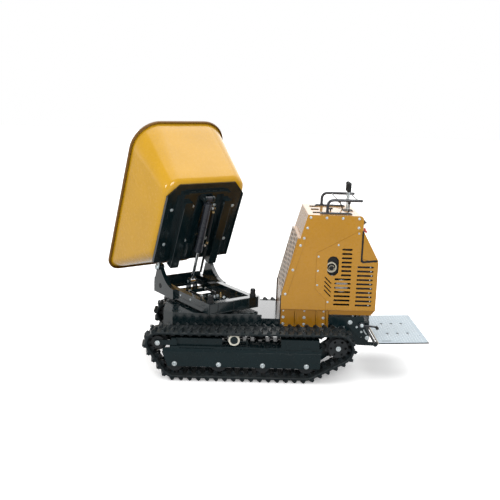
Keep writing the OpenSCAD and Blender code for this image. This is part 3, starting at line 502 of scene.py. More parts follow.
def hex_bolt(shape, place, axis, r, height=None, washer=1.45):
    """A hexagon head with chamfered corners on a round washer."""
    place, axis = Vector(place), Vector(axis).normalized()
    height = height or r * 0.75
    round_bar(shape, place, place + axis * 2, r * washer, sides=20)
    round_bar(shape, place + axis * 1.9, place + axis * (1.9 + height * 0.8), r, sides=6)
    round_bar(shape, place + axis * (1.9 + height * 0.8), place + axis * (2 + height), r, r * 0.8, sides=6)


def button_bolt(shape, place, axis, r):
    """A low domed head with a hexagon socket, on a thin washer."""
    place, axis = Vector(place), Vector(axis).normalized()
    round_bar(shape, place, place + axis * 1.2, r * 1.3, sides=20)
    dome = round_bar(shape, place + axis, place + axis * (1 + r * 0.5), r, r * 0.62, sides=18)
    top = max({f for v in dome for f in v.link_faces}, key=lambda f: f.calc_center_median().dot(axis))
    bmesh.ops.inset_individual(shape, faces=[top], thickness=r * 0.22)
    bmesh.ops.translate(shape, vec=-axis * r * 0.3, verts=top.verts)


def bolts(name, seat, body, places, axis, r, head=hex_bolt, finish=None):
    """A set of like bolts as one piece."""
    shape = bmesh.new()
    for place in places:
        head(shape, place, axis, r)
    return settle(name, shape, seat, body, finish or zinc, smooth=30)


ROLLER_SPOTS = [drawn(middle(f"roller_left_{i}")) for i in range(1, 5)]
for side in (LEFT, RIGHT):
    seat, tail = track_seat(side), NAMES[side]
    cover = bmesh.new()
    plate(cover, COVER, COVER_OUT - 6, COVER_OUT)
    ledge = block(cover, -537, 549, 62, COVER_OUT, 205, 231)
    for v in ledge:
        if v.co.z > 220:
            v.co.y -= 6 if v.co.y > 70 else 10
    for x in (-330, -180, 60, 330):
        block(cover, x - 30, x + 30, COVER_OUT - 1, COVER_OUT + 0.8, 203, 205)
    settle(f"track_cover_{tail}", cover, seat, "chassis", side_paint, bevel=1.5,
           replaces=["side_covers"] if side == LEFT else ())
    bolts(f"roller_bolts_{tail}", seat, "chassis", [(p.x, COVER_OUT, p.z) for p in ROLLER_SPOTS], (0, 1, 0), 13,
          head=button_bolt)
    idler, sprocket = drawn(middle("idler_left")), drawn(middle("sprocket_left"))
    bolts(f"idler_bolt_{tail}", seat, "chassis", [(idler.x, 66, idler.z)], (0, 1, 0), 12)
    bolts(f"hub_bolt_{tail}", seat, "chassis", [(sprocket.x, 58, sprocket.z)], (0, 1, 0), 12)
    rings = bmesh.new()
    carrier = drawn(middle("carrier_left"))
    round_bar(rings, (carrier.x, 66.5, carrier.z), (carrier.x, 69.5, carrier.z), 27, 25, sides=40)
    round_bar(rings, (carrier.x, 69, carrier.z), (carrier.x, 71, carrier.z), 9, 7, sides=24)
    settle(f"carrier_cap_{tail}", rings, seat, "chassis", side_paint, bevel=0.6)
    grease = bmesh.new()
    for x in (-430, -300):
        round_bar(grease, (x, 45, 276), (x, 48, 276), 5, sides=12)
    for x in (-420, -340, -260, -190):
        block(grease, x - 24, x + 24, 44.5, 45.8, 248, 252)
    settle(f"tensioner_details_{tail}", grease, seat, "chassis", side_paint)

# ---- chassis and deck ----------------------------------------------------------------
# A welded ladder frame between the tracks, with the pressed deck box that carries the
# slew ring at its front.
frame_paint = finish_of("green_black_paint", (0.0030, 0.0095, 0.0115), coat=1.0, specular=0.30, drift=0.15,
                        grain_size=600.0, grain_depth=0.06, roughness=0.18, roughness_spread=0.06, dust=0.0,
                        edge_wear=0.0)
black_rubber = finish_of("soft_black_rubber", (0.008, 0.009, 0.010), specular=0.3, drift=0.1, grain_size=900.0,
                         grain_depth=0.3, roughness=0.55, roughness_spread=0.08, dust=0.03, edge_wear=0.0)
dress(frame_paint, "chassis_frame", "deck_box", "slew_ring_lower", "slew_ring_upper", "turntable_frame", "tub_frame")
dress(side_paint, "platform_bracket")
deck_low, deck_high = (drawn(p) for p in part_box("deck_box"))
deck_trim = bmesh.new()
for y in (-1, 1):
    for x in (deck_low.x + 70, deck_high.x - 40):
        round_bar(deck_trim, (x, y * (deck_high.y - 45), DECK_Z - 9), (x, y * (deck_high.y - 45), DECK_Z - 7), 11)
settle("tie_down_plugs", deck_trim, MACHINE, "chassis", black_rubber)
folds = bmesh.new()
for y in (-1, 1):
    block(folds, deck_low.x + 75, deck_high.x, *sorted((y * deck_high.y, y * (deck_high.y + 3))), DECK_Z - 8, DECK_Z)
    block(folds, deck_high.x - 12, deck_high.x - 1, *sorted((y * (deck_high.y - 1), y * (deck_high.y + 2.5))),
          DECK_Z - 100, DECK_Z - 6)
settle("deck_lips", folds, MACHINE, "chassis", frame_paint, bevel=1)
dress(zinc, "hinge_pins")

# ---- turntable -----------------------------------------------------------------------
# Two folded side channels that curve up into the hinge arms, a rear beam with welded
# ribs and rubber stops, and a plate bolted down to the slew ring.
brass = finish_of("brass_fitting", (0.70, 0.50, 0.24), metallic=0.9, drift=0.1, grain_depth=0.1, roughness=0.32,
                  dust=0.05, edge_wear=0.0)
FRAME_Z = drawn(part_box("turntable_frame")[0]).z
FRAME_H, FRAME_HALF, FRAME_REAR = 75, 207, 286
BEAM_W = 50
ribs = bmesh.new()
for y in (-130, 0, 130):
    block(ribs, FRAME_REAR - 1, FRAME_REAR + 5, y - 3, y + 3, FRAME_Z + 3, FRAME_Z + FRAME_H - 3)
for z in (FRAME_Z, FRAME_Z + FRAME_H - 6):
    block(ribs, FRAME_REAR - 1, FRAME_REAR + 9, -FRAME_HALF + 2, FRAME_HALF - 2, z, z + 6)
for y in (-1, 1):
    block(ribs, FRAME_REAR - 1, FRAME_REAR + 9, *sorted((y * (FRAME_HALF - 8), y * (FRAME_HALF - 2))),
          FRAME_Z, FRAME_Z + FRAME_H)
settle("rear_beam_flanges", ribs, TURNTABLE, "turntable", frame_paint, bevel=1)
# Thin black lines along each channel and black discs where the arm holes are: painted shade on the channels.
arm_hole_shade = bmesh.new()
for y in (-1, 1):
    for start, end in ((-300, 60), (120, 260)):
        block(arm_hole_shade, start, end, *sorted((y * FRAME_HALF, y * (FRAME_HALF + 1.5))), FRAME_Z + 30, FRAME_Z + 31.5)
    round_bar(arm_hole_shade, (-352, y * 233, FRAME_Z + 62), (-352, y * 233.8, FRAME_Z + 62), 19, sides=32)
settle("arm_hole_shade_marks", arm_hole_shade, TURNTABLE, "turntable", black_rubber)
bolts("slew_ring_bolts", TURNTABLE, "turntable",
      [(118 * math.cos(a), 118 * math.sin(a), FRAME_Z + 8) for a in (math.tau * k / 12 + 0.1 for k in range(12))],
      (0, 0, 1), 9)
for y in (-1, 1):
    bolts(f"channel_bolts_{NAMES[y]}", TURNTABLE, "turntable",
          [(x, y * FRAME_HALF, FRAME_Z + 48) for x in (-205, -95, 40)], (0, y, 0), 6, head=button_bolt)
bushing = bmesh.new()
for a in (math.tau * k / 3 for k in range(3)):
    spot = Vector((150 * math.cos(a), 150 * math.sin(a), FRAME_Z + 8))
    round_bar(bushing, spot, spot + Vector((0, 0, 16)), 8, 6, sides=16)
    round_bar(bushing, spot + Vector((0, 0, 15)), spot + Vector((0, 0, 22)), 3.5, sides=12)
settle("grease_nipples", bushing, TURNTABLE, "turntable", brass, bevel=0.4)
stops = bmesh.new()
STOP_FOOT, STOP_TOP = FRAME_Z + FRAME_H, drawn(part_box("bump_stops")[1]).z
for y in (-180, 180):
    x = FRAME_REAR - BEAM_W / 2
    for r, z0, z1 in ((22, STOP_FOOT, STOP_FOOT + 18), (18, STOP_FOOT + 17, STOP_TOP - 6),
                      (18, STOP_TOP - 6.5, STOP_TOP)):
        round_bar(stops, (x, y, z0), (x, y, z1), r, r - (2.5 if z1 == STOP_TOP else 0), sides=36)
    for z in (STOP_FOOT + 26, STOP_FOOT + 38):
        round_bar(stops, (x, y, z), (x, y, z + 4), 19.5, sides=36)
settle("rubber_bump_stops", stops, TURNTABLE, "turntable", black_rubber, bevel=1.2,
       replaces=["bump_stops"])


def rounded(points, bend, steps=6):
    """The points of a path whose inner corners are turned into even curves of that reach."""
    points = [Vector(p) for p in points]
    out = [points[0]]
    for before, corner, after in zip(points, points[1:], points[2:]):
        into, away = (corner - before), (after - corner)
        reach = min(bend, into.length / 2, away.length / 2)
        a, b = corner - into.normalized() * reach, corner + away.normalized() * reach
        out += [a.lerp(corner, t).lerp(corner.lerp(b, t), t) for t in (k / steps for k in range(steps + 1))]
    return out + [points[-1]]


def tube(shape, points, r, bend=0.0, sides=3):
    """A round tube with closed ends along a path of straights and bends."""
    line = bpy.data.curves.new("tube", "CURVE")
    line.dimensions = "3D"
    line.bevel_depth = r
    line.bevel_resolution = sides
    line.use_fill_caps = True
    path = rounded(points, bend) if bend else [Vector(p) for p in points]
    spline = line.splines.new("POLY")
    spline.points.add(len(path) - 1)
    for spot, place in zip(spline.points, path):
        spot.co = (*place, 1)
    holder = bpy.data.objects.new("tube", line)
    bpy.context.scene.collection.objects.link(holder)
    drawn_mesh = bpy.data.meshes.new_from_object(holder.evaluated_get(bpy.context.evaluated_depsgraph_get()))
    shape.from_mesh(drawn_mesh)
    bpy.data.objects.remove(holder)
    bpy.data.curves.remove(line)
    bpy.data.meshes.remove(drawn_mesh)


hoses = bmesh.new()
for y in (-70, 70):
    tube(hoses, [(-60, y, FRAME_Z + 9), (-60, y, FRAME_Z + 37), (-210, y, FRAME_Z + 37), (-210, y, FRAME_Z + 30)], 8,
         bend=14, sides=4)
settle("turntable_hoses", hoses, TURNTABLE, "turntable", black_rubber, replaces=["hoses"])
ends = bmesh.new()
for y in (-70, 70):
    round_bar(ends, (-60, y, FRAME_Z + 8), (-60, y, FRAME_Z + 20), 12, sides=6)
    round_bar(ends, (-200, y, FRAME_Z + 37), (-185, y, FRAME_Z + 37), 11, sides=6)
settle("hose_ends", ends, TURNTABLE, "turntable", zinc, bevel=0.6)

# ---- bucket --------------------------------------------------------------------------
# One deep pressing: walls that spread from a rounded floor up to a rolled rim, with wide
# smooth corners. The mouth slopes out furthest over the tip hinge, where it dumps.
tub_paint = finish_of("golden_powder_coat", (0.600, 0.320, 0.010), coat=0.8, specular=0.2, drift=0.04,
                      grain_size=650.0, grain_depth=0.08, roughness=0.26, roughness_spread=0.04, dust=0.03,
                      edge_wear=0.0)
# A dark brown, duller copy of the bucket's coat: painted shade on the rolled rim's outer face.
rim_painted_shade = finish_of("shaded_rim_coat", (0.150, 0.066, 0.004), specular=0.25, drift=0.04, grain_size=650.0,
                      grain_depth=0.08, roughness=0.34, roughness_spread=0.05, dust=0.0, edge_wear=0.0)
FLOOR_Z, SHEET = -30, 4
ROLL = 12                                                  # the rim's roll, outside the walls
RIM_OUTLINE = tuple(edge + inset for edge, inset in        # dump end, cab end, half width, radii
                    zip((-307, 968, 398, 95, 212), (ROLL, -ROLL, -ROLL, -ROLL, -ROLL)))
FLOOR_OUTLINE = (88, 744, 339, 110, 110)
CORNER_STEPS = 14


def corner_ring(shape, outline, out, z):
    """A rounded rectangle of edges at height z, grown by out, with its own radius at each end."""
    x0, x1, half, nose, cab = outline
    ring = []
    for k, (x, y, r) in enumerate(((x1 - cab, half - cab, cab), (x0 + nose, half - nose, nose),
                                   (x0 + nose, nose - half, nose), (x1 - cab, cab - half, cab))):
        for step in range(CORNER_STEPS + 1):
            a = math.pi / 2 * (k + step / CORNER_STEPS)
            ring.append(shape.verts.new((x + (r + out) * math.cos(a), y + (r + out) * math.sin(a), z)))
    return [shape.edges.new((ring[i - 1], ring[i])) for i in range(len(ring))]


def between(a, b, t):
    return tuple(p + (q - p) * t for p, q in zip(a, b))


tub = bmesh.new()
ROLLED_RIM = [(7.5, 447), (10.5, 448), (12, 451), (12, 464), (10.5, 468), (7, 469), (3, 468), (0.7, 464), (0, 452)]
rings = [corner_ring(tub, RIM_OUTLINE, out, z) for out, z in ROLLED_RIM]
WALL_STEPS = 6
for k in range(1, WALL_STEPS):
    t = k / WALL_STEPS
    rings.append(corner_ring(tub, between(RIM_OUTLINE, FLOOR_OUTLINE, t), 0, 452 + (FLOOR_Z - 452) * t))
rings.append(corner_ring(tub, FLOOR_OUTLINE, 0, FLOOR_Z))
# The rim roll's outer bands take the second finish, the dark brown copy of the coat, as painted shade under the roll.
for k, (upper, lower) in enumerate(zip(rings, rings[1:])):
    for face in bmesh.ops.bridge_loops(tub, edges=upper + lower)["faces"]:
        face.material_index = int(k < 4)
bmesh.ops.contextual_create(tub, geom=rings[-1])
bmesh.ops.bevel(tub, geom=rings[-1], affect="EDGES", offset=34, segments=7, profile=0.5, material=-1)
bmesh.ops.recalc_face_normals(tub, faces=tub.faces)
floor_face = min(tub.faces, key=lambda f: f.calc_center_median().z)
if floor_face.normal.z > 0:
    bmesh.ops.reverse_faces(tub, faces=tub.faces)
bmesh.ops.solidify(tub, geom=tub.faces, thickness=SHEET)
shell = settle("tub_shell", tub, TUB, "bucket", tub_paint, replaces=["tub"], smooth=60)
shell.data.materials.append(rim_painted_shade)

# The underframe's plate, hat rails and clevis are the CAD node; here are its turned
# edges, weld slots, bolts and the hinge's plated parts.
PLATE_LOW, PLATE_HALF, PLATE_X0, PLATE_X1 = -42, 323, 84, 722
edges = bmesh.new()
for y in (-1, 1):
    block(edges, PLATE_X0, PLATE_X1 - 92, *sorted((y * (PLATE_HALF - 4), y * PLATE_HALF)), PLATE_LOW - 12,
          PLATE_LOW + 1)
block(edges, PLATE_X0, PLATE_X0 + 4, -PLATE_HALF + 2, PLATE_HALF - 2, PLATE_LOW - 14, PLATE_LOW + 1)
block(edges, PLATE_X0 + 6, PLATE_X1 - 76, -134, 134, PLATE_LOW - 3, PLATE_LOW + 1)
for y in (-1, 1):
    for x0, x1 in ((150, 230), (330, 410), (500, 560)):
        block(edges, x0, x1, *sorted((y * 133, y * 136)), PLATE_LOW - 5, PLATE_LOW - 2)
settle("underframe_edges", edges, TUB, "bucket", frame_paint, bevel=1)
welds = bmesh.new()
for x in (-120, -60, 0, 60, 120):
    block(welds, PLATE_X1 - 55.5, PLATE_X1 - 54.5, x - 18, x + 18, PLATE_LOW - 11, PLATE_LOW - 7)
for y in (-1, 1):
    for x in (190, 330, 470):
        block(welds, x - 16, x + 16, *sorted((y * (PLATE_HALF - 40), y * (PLATE_HALF - 36))), PLATE_LOW - 0.8,
              PLATE_LOW)
settle("weld_slots", welds, TUB, "bucket", cast_iron)
bolts("underframe_bolts", TUB, "bucket",
      [(x, y * 262, PLATE_LOW) for x in (230, 520) for y in (-1, 1)] +
      [(x, y * 92, PLATE_LOW - 3) for x in (250, 540) for y in (-1, 1)], (0, 0, -1), 9)
pins = bmesh.new()
for y in (-1, 1):
    round_bar(pins, (0, y * 250, 0), (0, y * 256, 0), 20, sides=32)
    round_bar(pins, (0, y * 255, 0), (0, y * 264, 0), 12, sides=6)
    round_bar(pins, (46, y * 252, -24), (46, y * 262, -24), 8, sides=6)
    block(pins, -4, 50, *sorted((y * 249, y * 252)), -30, -6)
settle("hinge_caps", pins, TUB, "bucket", zinc, bevel=0.8)
gusset = bmesh.new()
for y in (-1, 1):
    plate(gusset, [(120, PLATE_LOW + 2), (120, PLATE_LOW - 58), (50, PLATE_LOW - 58), (50, PLATE_LOW - 30)],
          *sorted((y * 194, y * 198.5)))
    block(gusset, PLATE_X0 - 34, PLATE_X1 - 70, *sorted((y * 134.6, y * 137)), PLATE_LOW - 13, PLATE_LOW + 1)
settle("rail_gussets", gusset, TUB, "bucket", frame_paint)
RAIL_EDGES = (135, 197)
folds = bmesh.new()
for y in (-1, 1):
    for offset in RAIL_EDGES:
        round_bar(folds, (51, y * offset, PLATE_LOW - 59), (560, y * offset, PLATE_LOW - 59), 3, sides=12)
settle("rail_folds", folds, TUB, "bucket", frame_paint, smooth=60)

# ---- tip ram -------------------------------------------------------------------------
# A double-acting cylinder: painted barrel with a welded cap and screwed gland, chromed
# rod, and two ports with plated and brass fittings fed by a steel pipe along the barrel.
black_paint = finish_of("satin_black_paint", (0.018, 0.021, 0.028), coat=0.4, specular=0.35, drift=0.1,
                        grain_size=900.0, grain_depth=0.1, roughness=0.28, roughness_spread=0.06, dust=0.03, edge_wear=0.0)
chrome = finish_of("hard_chrome", (0.74, 0.76, 0.78), metallic=1.0, drift=0.03, grain_depth=0.03, roughness=0.12,
                   roughness_spread=0.03, dust=0.02, edge_wear=0.0)
RAM_LENGTH = 691.4     # from eye to eye at rest
dress(chrome, "ram_rod")
dress(black_paint, "ram_barrel")
BARREL_R, BARREL_FOOT = 28, RAM_LENGTH - 430
ports = bmesh.new()
round_bar(ports, (BARREL_FOOT - 2, 0, 0), (BARREL_FOOT + 26, 0, 0), BARREL_R + 3, sides=40)
round_bar(ports, (RAM_LENGTH - 60, 0, 0), (RAM_LENGTH - 36, 0, 0), BARREL_R + 2, sides=40)
for x in (BARREL_FOOT + 40, RAM_LENGTH - 80):
    round_bar(ports, (x, 0, 0), (x, 40, 0), 13, sides=24)
settle("ram_gland_and_ports", ports, RAM, "tip_ram_barrel", black_paint, bevel=1.2)
fittings = bmesh.new()
for x in (BARREL_FOOT + 40, RAM_LENGTH - 80):
    round_bar(fittings, (x, 39, 0), (x, 50, 0), 12, sides=6)
    round_bar(fittings, (x, 49, 0), (x, 58, 0), 8, sides=16)
settle("ram_elbows", fittings, RAM, "tip_ram_barrel", zinc, bevel=0.6)
pipe = bmesh.new()
tube(pipe, [(RAM_LENGTH - 80, 54, 0), (RAM_LENGTH - 80, 62, 0), (RAM_LENGTH - 130, 62, 0), (BARREL_FOOT + 100, 62, 0),
            (BARREL_FOOT - 190, 62, 0)], 9, bend=7, sides=4)
settle("ram_feed_pipe", pipe, RAM, "tip_ram_barrel", black_rubber)
nuts = bmesh.new()
round_bar(nuts, (RAM_LENGTH - 100, 62, 0), (RAM_LENGTH - 116, 62, 0), 10, sides=6)
round_bar(nuts, (BARREL_FOOT + 55, 62, 0), (BARREL_FOOT + 74, 62, 0), 10, sides=6)
round_bar(nuts, (RAM_LENGTH - 80, 56, 0), (RAM_LENGTH - 80, 68, 0), 9, sides=6)
settle("ram_pipe_nuts", nuts, RAM, "tip_ram_barrel", brass, bevel=0.5)

# ---- hood ----------------------------------------------------------------------------
# Folded sheet panels, powder coated: two sides with pressed-out louvres, a sloping front
# with a perforated grille, a top with a rolled rear edge and a console below it. Domed
# socket bolts hold the panels, and an access panel lies over each side.
hood_paint = finish_of("ochre_powder_coat", (0.440, 0.205, 0.006), coat=0.9, specular=0.2, drift=0.03,
                       grain_size=700.0, grain_depth=0.08, roughness=0.28, roughness_spread=0.04, dust=0.0,
                       edge_wear=0.0)
# A darker, duller copy of the hood's coat: painted shade on the recessed skirt under the hood's overhang, on the seam
# lines and on the lower return.
ochre_painted_shade = finish_of("shaded_ochre_coat", (0.300, 0.132, 0.004), coat=0.4, specular=0.2, drift=0.05,
                        grain_size=700.0, grain_depth=0.08, roughness=0.32, roughness_spread=0.04, dust=0.0,
                        edge_wear=0.0)
hot_steel = finish_of("heat_dulled_steel", (0.50, 0.47, 0.38), metallic=0.7, drift=0.20, grain_depth=0.2,
                      roughness=0.36, roughness_spread=0.12, dust=0.03, edge_wear=0.0)
dress(hood_paint, "hood_left", "hood_right", "hood_top", "hood_front", "hood_rear", "rear_console")
# The recessed skirt takes the darker copy of the coat as painted shade.
dress(ochre_painted_shade, "skirt")
HOOD_HALF, HOOD_TOP, FRONT_X, KNEE_Z, BROW_X = 250, 1154, 271, 583, 433
SLOPE = (BROW_X - FRONT_X) / (HOOD_TOP - KNEE_Z)


def front_at(z):
    """The hood's front edge at height z."""
    return FRONT_X + max(0, z - KNEE_Z) * SLOPE


def slot_outline(x0, x1, z, half=7, steps=6):
    """A slot along X with round ends."""
    ends = [(x1 - half, -90), (x0 + half, 90)]
    turns = [(x, math.radians(a + 180 * k / steps)) for x, a in ends for k in range(steps + 1)]
    return [(x + half * math.cos(a), z + half * math.sin(a)) for x, a in turns]


def louvre_rows():
    rows = []
    for x0, x1, high, low, count in ((679, 751, 918, 736, 7), (637, 752, 706, 524, 7), (790, 905, 797, 521, 10)):
        rows += [slot_outline(x0, x1, high + (low - high) * k / (count - 1)) for k in range(count)]
    return rows


def slanted_slots():
    out = []
    along, across = Vector((1, -1)).normalized() * 34, Vector((1, 1)).normalized() * 4
    for k in range(4):
        centre = Vector((592, 697 - k * 31))
        out.append([tuple(centre + a * along + b * across) for a, b in ((-1, -1), (1, -1), (1, 1), (-1, 1))])
    return out


def obround(x, z, half, reach, steps=12):
    """An upright slot with round ends, for the exhaust."""
    return [(x + half * math.cos(a), z + (reach if a <= math.pi else -reach) + half * math.sin(a))
            for a in (math.pi * (k / steps if k <= steps else (k - 1) / steps) for k in range(2 * steps + 2))]


PANEL = [(585, 486), (585, 552), (505, 634), (505, 890), (650, 970), (789, 1048), (803, 1048), (803, 838), (815, 824),
         (930, 836), (930, 486)]
SIDE_BOLTS = [(451, 1136), (561, 1136), (672, 1136), (784, 1136), (784, 1073), (432, 1063), (412, 991),
              (389, 939), (344, 764), (298, 590)]
PANEL_BOLTS = [(788, 1034), (652, 950), (518, 864), (518, 762), (518, 660), (597, 540)]
for side in (LEFT, RIGHT):
    tail, face = NAMES[side], side * HOOD_HALF
    access = bmesh.new()
    holes = louvre_rows() + slanted_slots() + ([obround(621, 799, 40, 30)] if side == LEFT else [])
    plate(access, PANEL, *sorted((face, face + side * 1.6)), holes=holes)
    settle(f"access_panel_{tail}", access, MACHINE, "chassis", hood_paint)
    strip = bmesh.new()
    plate(strip, [(FRONT_X, 583), (front_at(1000), 1000), (front_at(1000) + 40, 1000), (FRONT_X + 38, 583)],
          *sorted((face, face + side * 1.8)))
    settle(f"front_flange_{tail}", strip, MACHINE, "chassis", hood_paint)
    # Thin dark lines along the access panel, the front flange and above the skirt: painted shadow in the seams.
    seam_shadows = bmesh.new()
    for line in (PANEL[:7], [(front_at(996) + 40, 996), (FRONT_X + 40, 583), (FRONT_X + 6, 583)],
                 [(FRONT_X, 481), (925, 481)]):
        tube(seam_shadows, [(x, face + side * 0.6, z) for x, z in line], 1.3, sides=1)
    settle(f"panel_seam_shadows_{tail}", seam_shadows, MACHINE, "chassis", ochre_painted_shade)
    for name, r, spots in (("side", 7, SIDE_BOLTS), ("panel", 5.5, PANEL_BOLTS)):
        bolts(f"{name}_bolts_{tail}", MACHINE, "chassis", [(x, face + side * 1.4, z) for x, z in spots],
              (0, side, 0), r, head=button_bolt)
    bolts(f"skirt_bolts_{tail}", MACHINE, "chassis",
          [(x, side * 244, z) for x in (291, 439, 574) for z in (420, 371)], (0, side, 0), 8, head=button_bolt)
    bolts(f"skirt_small_bolts_{tail}", MACHINE, "chassis",
          [(x, side * 244, 467) for x in (291, 439, 574)], (0, side, 0), 4.5, head=button_bolt)
    seal = bmesh.new()
    plate(seal, [(811, 1052), (823, 1052), (823, 848), (832, 840), (926, 851), (928, 838), (828, 826), (811, 836)],
          *sorted((side * (HOOD_HALF - 2), side * (HOOD_HALF + 3))))
    settle(f"console_seal_{tail}", seal, MACHINE, "chassis", black_rubber, bevel=1.5)
    foot = bmesh.new()
    block(foot, FRONT_X - 6, FRONT_X + 1, *sorted((side * 243, side * 249)), 353, 580)
    settle(f"front_edge_seal_{tail}", foot, MACHINE, "chassis", black_rubber, bevel=1.5)
    ribs = bmesh.new()
    for x in (371, 520, 590):
        plate(ribs, [(x, 478), (x + 9, 478), (x + 6, 362), (x, 362)], *sorted((side * 243, side * 250)))
    block(ribs, FRONT_X, 610, *sorted((side * 244, side * 245.6)), 353, 358)
    settle(f"skirt_ribs_{tail}", ribs, MACHINE, "chassis", hood_paint, bevel=0.8)
    # The downward-facing lower return takes the darker copy of the coat as painted shade.
    turn_in = bmesh.new()
    plate(turn_in, [(612, 486), (928, 486), (905, 449), (612, 449)], *sorted((side * 245, side * 248)))
    settle(f"lower_return_{tail}", turn_in, MACHINE, "chassis", ochre_painted_shade, bevel=0.8)

# The exhaust shows in the left panel's opening: a turned outlet ring with the tail pipe set back in it,
# with black discs behind them as painted shade in the opening.
dress(hot_steel, "muffler")


def turned_ring(shape, centre, profile, steps=48):
    """A ring turned about Y from its closed profile of (radius, depth) pairs."""
    wire = [shape.verts.new((centre[0] + r, centre[1] + y, centre[2])) for r, y in profile]
    edges = [shape.edges.new((wire[i - 1], wire[i])) for i in range(len(wire))]
    bmesh.ops.spin(shape, geom=wire + edges, cent=centre, axis=(0, 1, 0), angle=math.tau, steps=steps, use_merge=True)


outlet = bmesh.new()
turned_ring(outlet, (611, -247, 789), [(36, 16), (38, 13), (38, 2), (36, 0), (29, 0), (27, 3), (27, 16)])
settle("exhaust_outlet", outlet, MACHINE, "chassis", hot_steel, smooth=40)
tail_pipe = bmesh.new()
turned_ring(tail_pipe, (613, -244, 782), [(20, 20), (20, 1), (19, 0), (17.5, 0), (17, 1), (17, 20)], 32)
settle("tail_pipe", tail_pipe, MACHINE, "chassis", hot_steel, smooth=40)
# Black discs behind the outlet and the tail pipe: painted shade inside the opening.
exhaust_shade = bmesh.new()
round_bar(exhaust_shade, (616, -228, 799), (616, -224, 799), 72, sides=48)
round_bar(exhaust_shade, (613, -236, 782), (613, -228, 782), 16.5, sides=32)
settle("exhaust_shade_discs", exhaust_shade, MACHINE, "chassis", black_rubber, smooth=40)

# The front grille is one sheet with staggered rows of slots; the slots' walls and a black sheet behind it are painted
# shade inside the hood.
# It stands proud at its top, where a flange turns back to the hood, and narrows to its foot.
GRILLE_HALF, GRILLE_LENGTH, GRILLE_PROUD = HOOD_HALF - 5, math.hypot(162, 571) * (985 - 583) / 571, 15
grille = bmesh.new()
SLOT_PITCH, SLOT_ROW, SLOT_HALF, SLOT_TALL, SLOT_SLANT = 92, 31, 35, 6.5, 5
slots = []
for column in range(5):
    for row in range(13):
        y = (column - 2) * SLOT_PITCH
        z = 22 + row * SLOT_ROW + SLOT_ROW / 2 * (column % 2)
        slots.append([(y + a * SLOT_HALF, z + b * SLOT_TALL - a * SLOT_SLANT) for a, b in
                      ((-1, -0.4), (-0.85, -1), (0.85, -1), (1, -0.4), (1, 0.4), (0.85, 1), (-0.85, 1), (-1, 0.4))])
plate(grille, [(-GRILLE_HALF, 4), (GRILLE_HALF, 4), (GRILLE_HALF, GRILLE_LENGTH), (-GRILLE_HALF, GRILLE_LENGTH)], -2.5,
      -1, holes=slots)
bmesh.ops.recalc_face_normals(grille, faces=grille.faces)
# The slots' cut walls take the second, black finish: painted shade inside the slots.
for face in grille.faces:
    centre = face.calc_center_median()
    in_slot = abs(face.normal.y) < 0.5 and abs(centre.x) < GRILLE_HALF - 1 and 6 < centre.z < GRILLE_LENGTH - 2
    face.material_index = int(in_slot)
block(grille, -GRILLE_HALF, GRILLE_HALF, -2.5, 0, GRILLE_LENGTH - 1.5, GRILLE_LENGTH)
for x in (-GRILLE_HALF, GRILLE_HALF - 1.5):
    block(grille, x, x + 1.5, -2.5, 0, 4, GRILLE_LENGTH)
for v in grille.verts:
    if v.co.y < -0.5:
        v.co.y -= GRILLE_PROUD * v.co.z / GRILLE_LENGTH
grille_seat = (MACHINE @ Matrix.Translation((FRONT_X, 0, KNEE_Z)) @ Matrix.Rotation(math.atan(SLOPE), 4, "Y")
               @ Matrix.Rotation(-math.pi / 2, 4, "Z"))
sheet = settle("front_grille", grille, grille_seat, "chassis", hood_paint, replaces=["front_mesh"])
sheet.data.materials.append(black_rubber)
# A black sheet behind the slots: painted shade inside the hood.
grille_shade = bmesh.new()
plate(grille_shade, [(4 - GRILLE_HALF, 6), (GRILLE_HALF - 4, 6), (GRILLE_HALF - 4, GRILLE_LENGTH - 4),
                    (4 - GRILLE_HALF, GRILLE_LENGTH - 4)], -0.8, -0.2)
settle("grille_shade_sheet", grille_shade, grille_seat, "chassis", black_rubber)

# ---- engine bay ----------------------------------------------------------------------
# A single-cylinder engine on rubber feet, with the pump end cover, tanks and battery.
black_plastic = finish_of("moulded_black_plastic", (0.010, 0.010, 0.012), specular=0.35, drift=0.05,
                          grain_size=1500.0, grain_depth=0.2, roughness=0.40, roughness_spread=0.06, dust=0.03,
                          edge_wear=0.0)
bare_alloy = finish_of("sand_cast_alloy", (0.30, 0.31, 0.32), metallic=0.6, drift=0.15, grain_size=260.0,
                       grain_depth=0.5, roughness=0.48, roughness_spread=0.1, dust=0.05, edge_wear=0.0)
dress(bare_alloy, "engine")
dress(black_plastic, "fuel_tank", "battery", "key_knob", "park_knob", "throttle_lever", "tip_lever")
dress(frame_paint, "hydraulic_tank", "lever_bracket")
engine = bmesh.new()
for k in range(11):
    block(engine, 364, 516, -108, 108, 652 + k * 14, 655 + k * 14)
block(engine, 380, 500, -131, -129, 430, 620)
round_bar(engine, (440, -130, 520), (440, -146, 520), 62, 56, sides=36)
for r0, r1, y0, y1 in ((46, 46, -236, -222), (46, 38, -240, -236), (24, 20, -243, -240)):
    round_bar(engine, (690, y1, 655), (690, y0, 655), r0, r1, sides=40)
settle("engine_details", engine, MACHINE, "chassis", bare_alloy, bevel=1.2)
# Black blocks behind the side louvres: painted shade inside the hood.
louvre_shade = bmesh.new()
block(louvre_shade, 800, 908, -240, -226, 506, 812)
block(louvre_shade, 632, 760, -216, -208, 508, 930)
block(louvre_shade, 560, 640, -216, -208, 560, 720)
settle("louvre_shade_blocks", louvre_shade, MACHINE, "chassis", black_plastic, bevel=2)
unions = bmesh.new()
for k in range(10):
    x, z = 884 + 5 * (k % 3), 797 - 30.67 * k
    round_bar(unions, (x, -240, z), (x, -245, z), 4.5, sides=6)
settle("hose_unions", unions, MACHINE, "chassis", zinc)

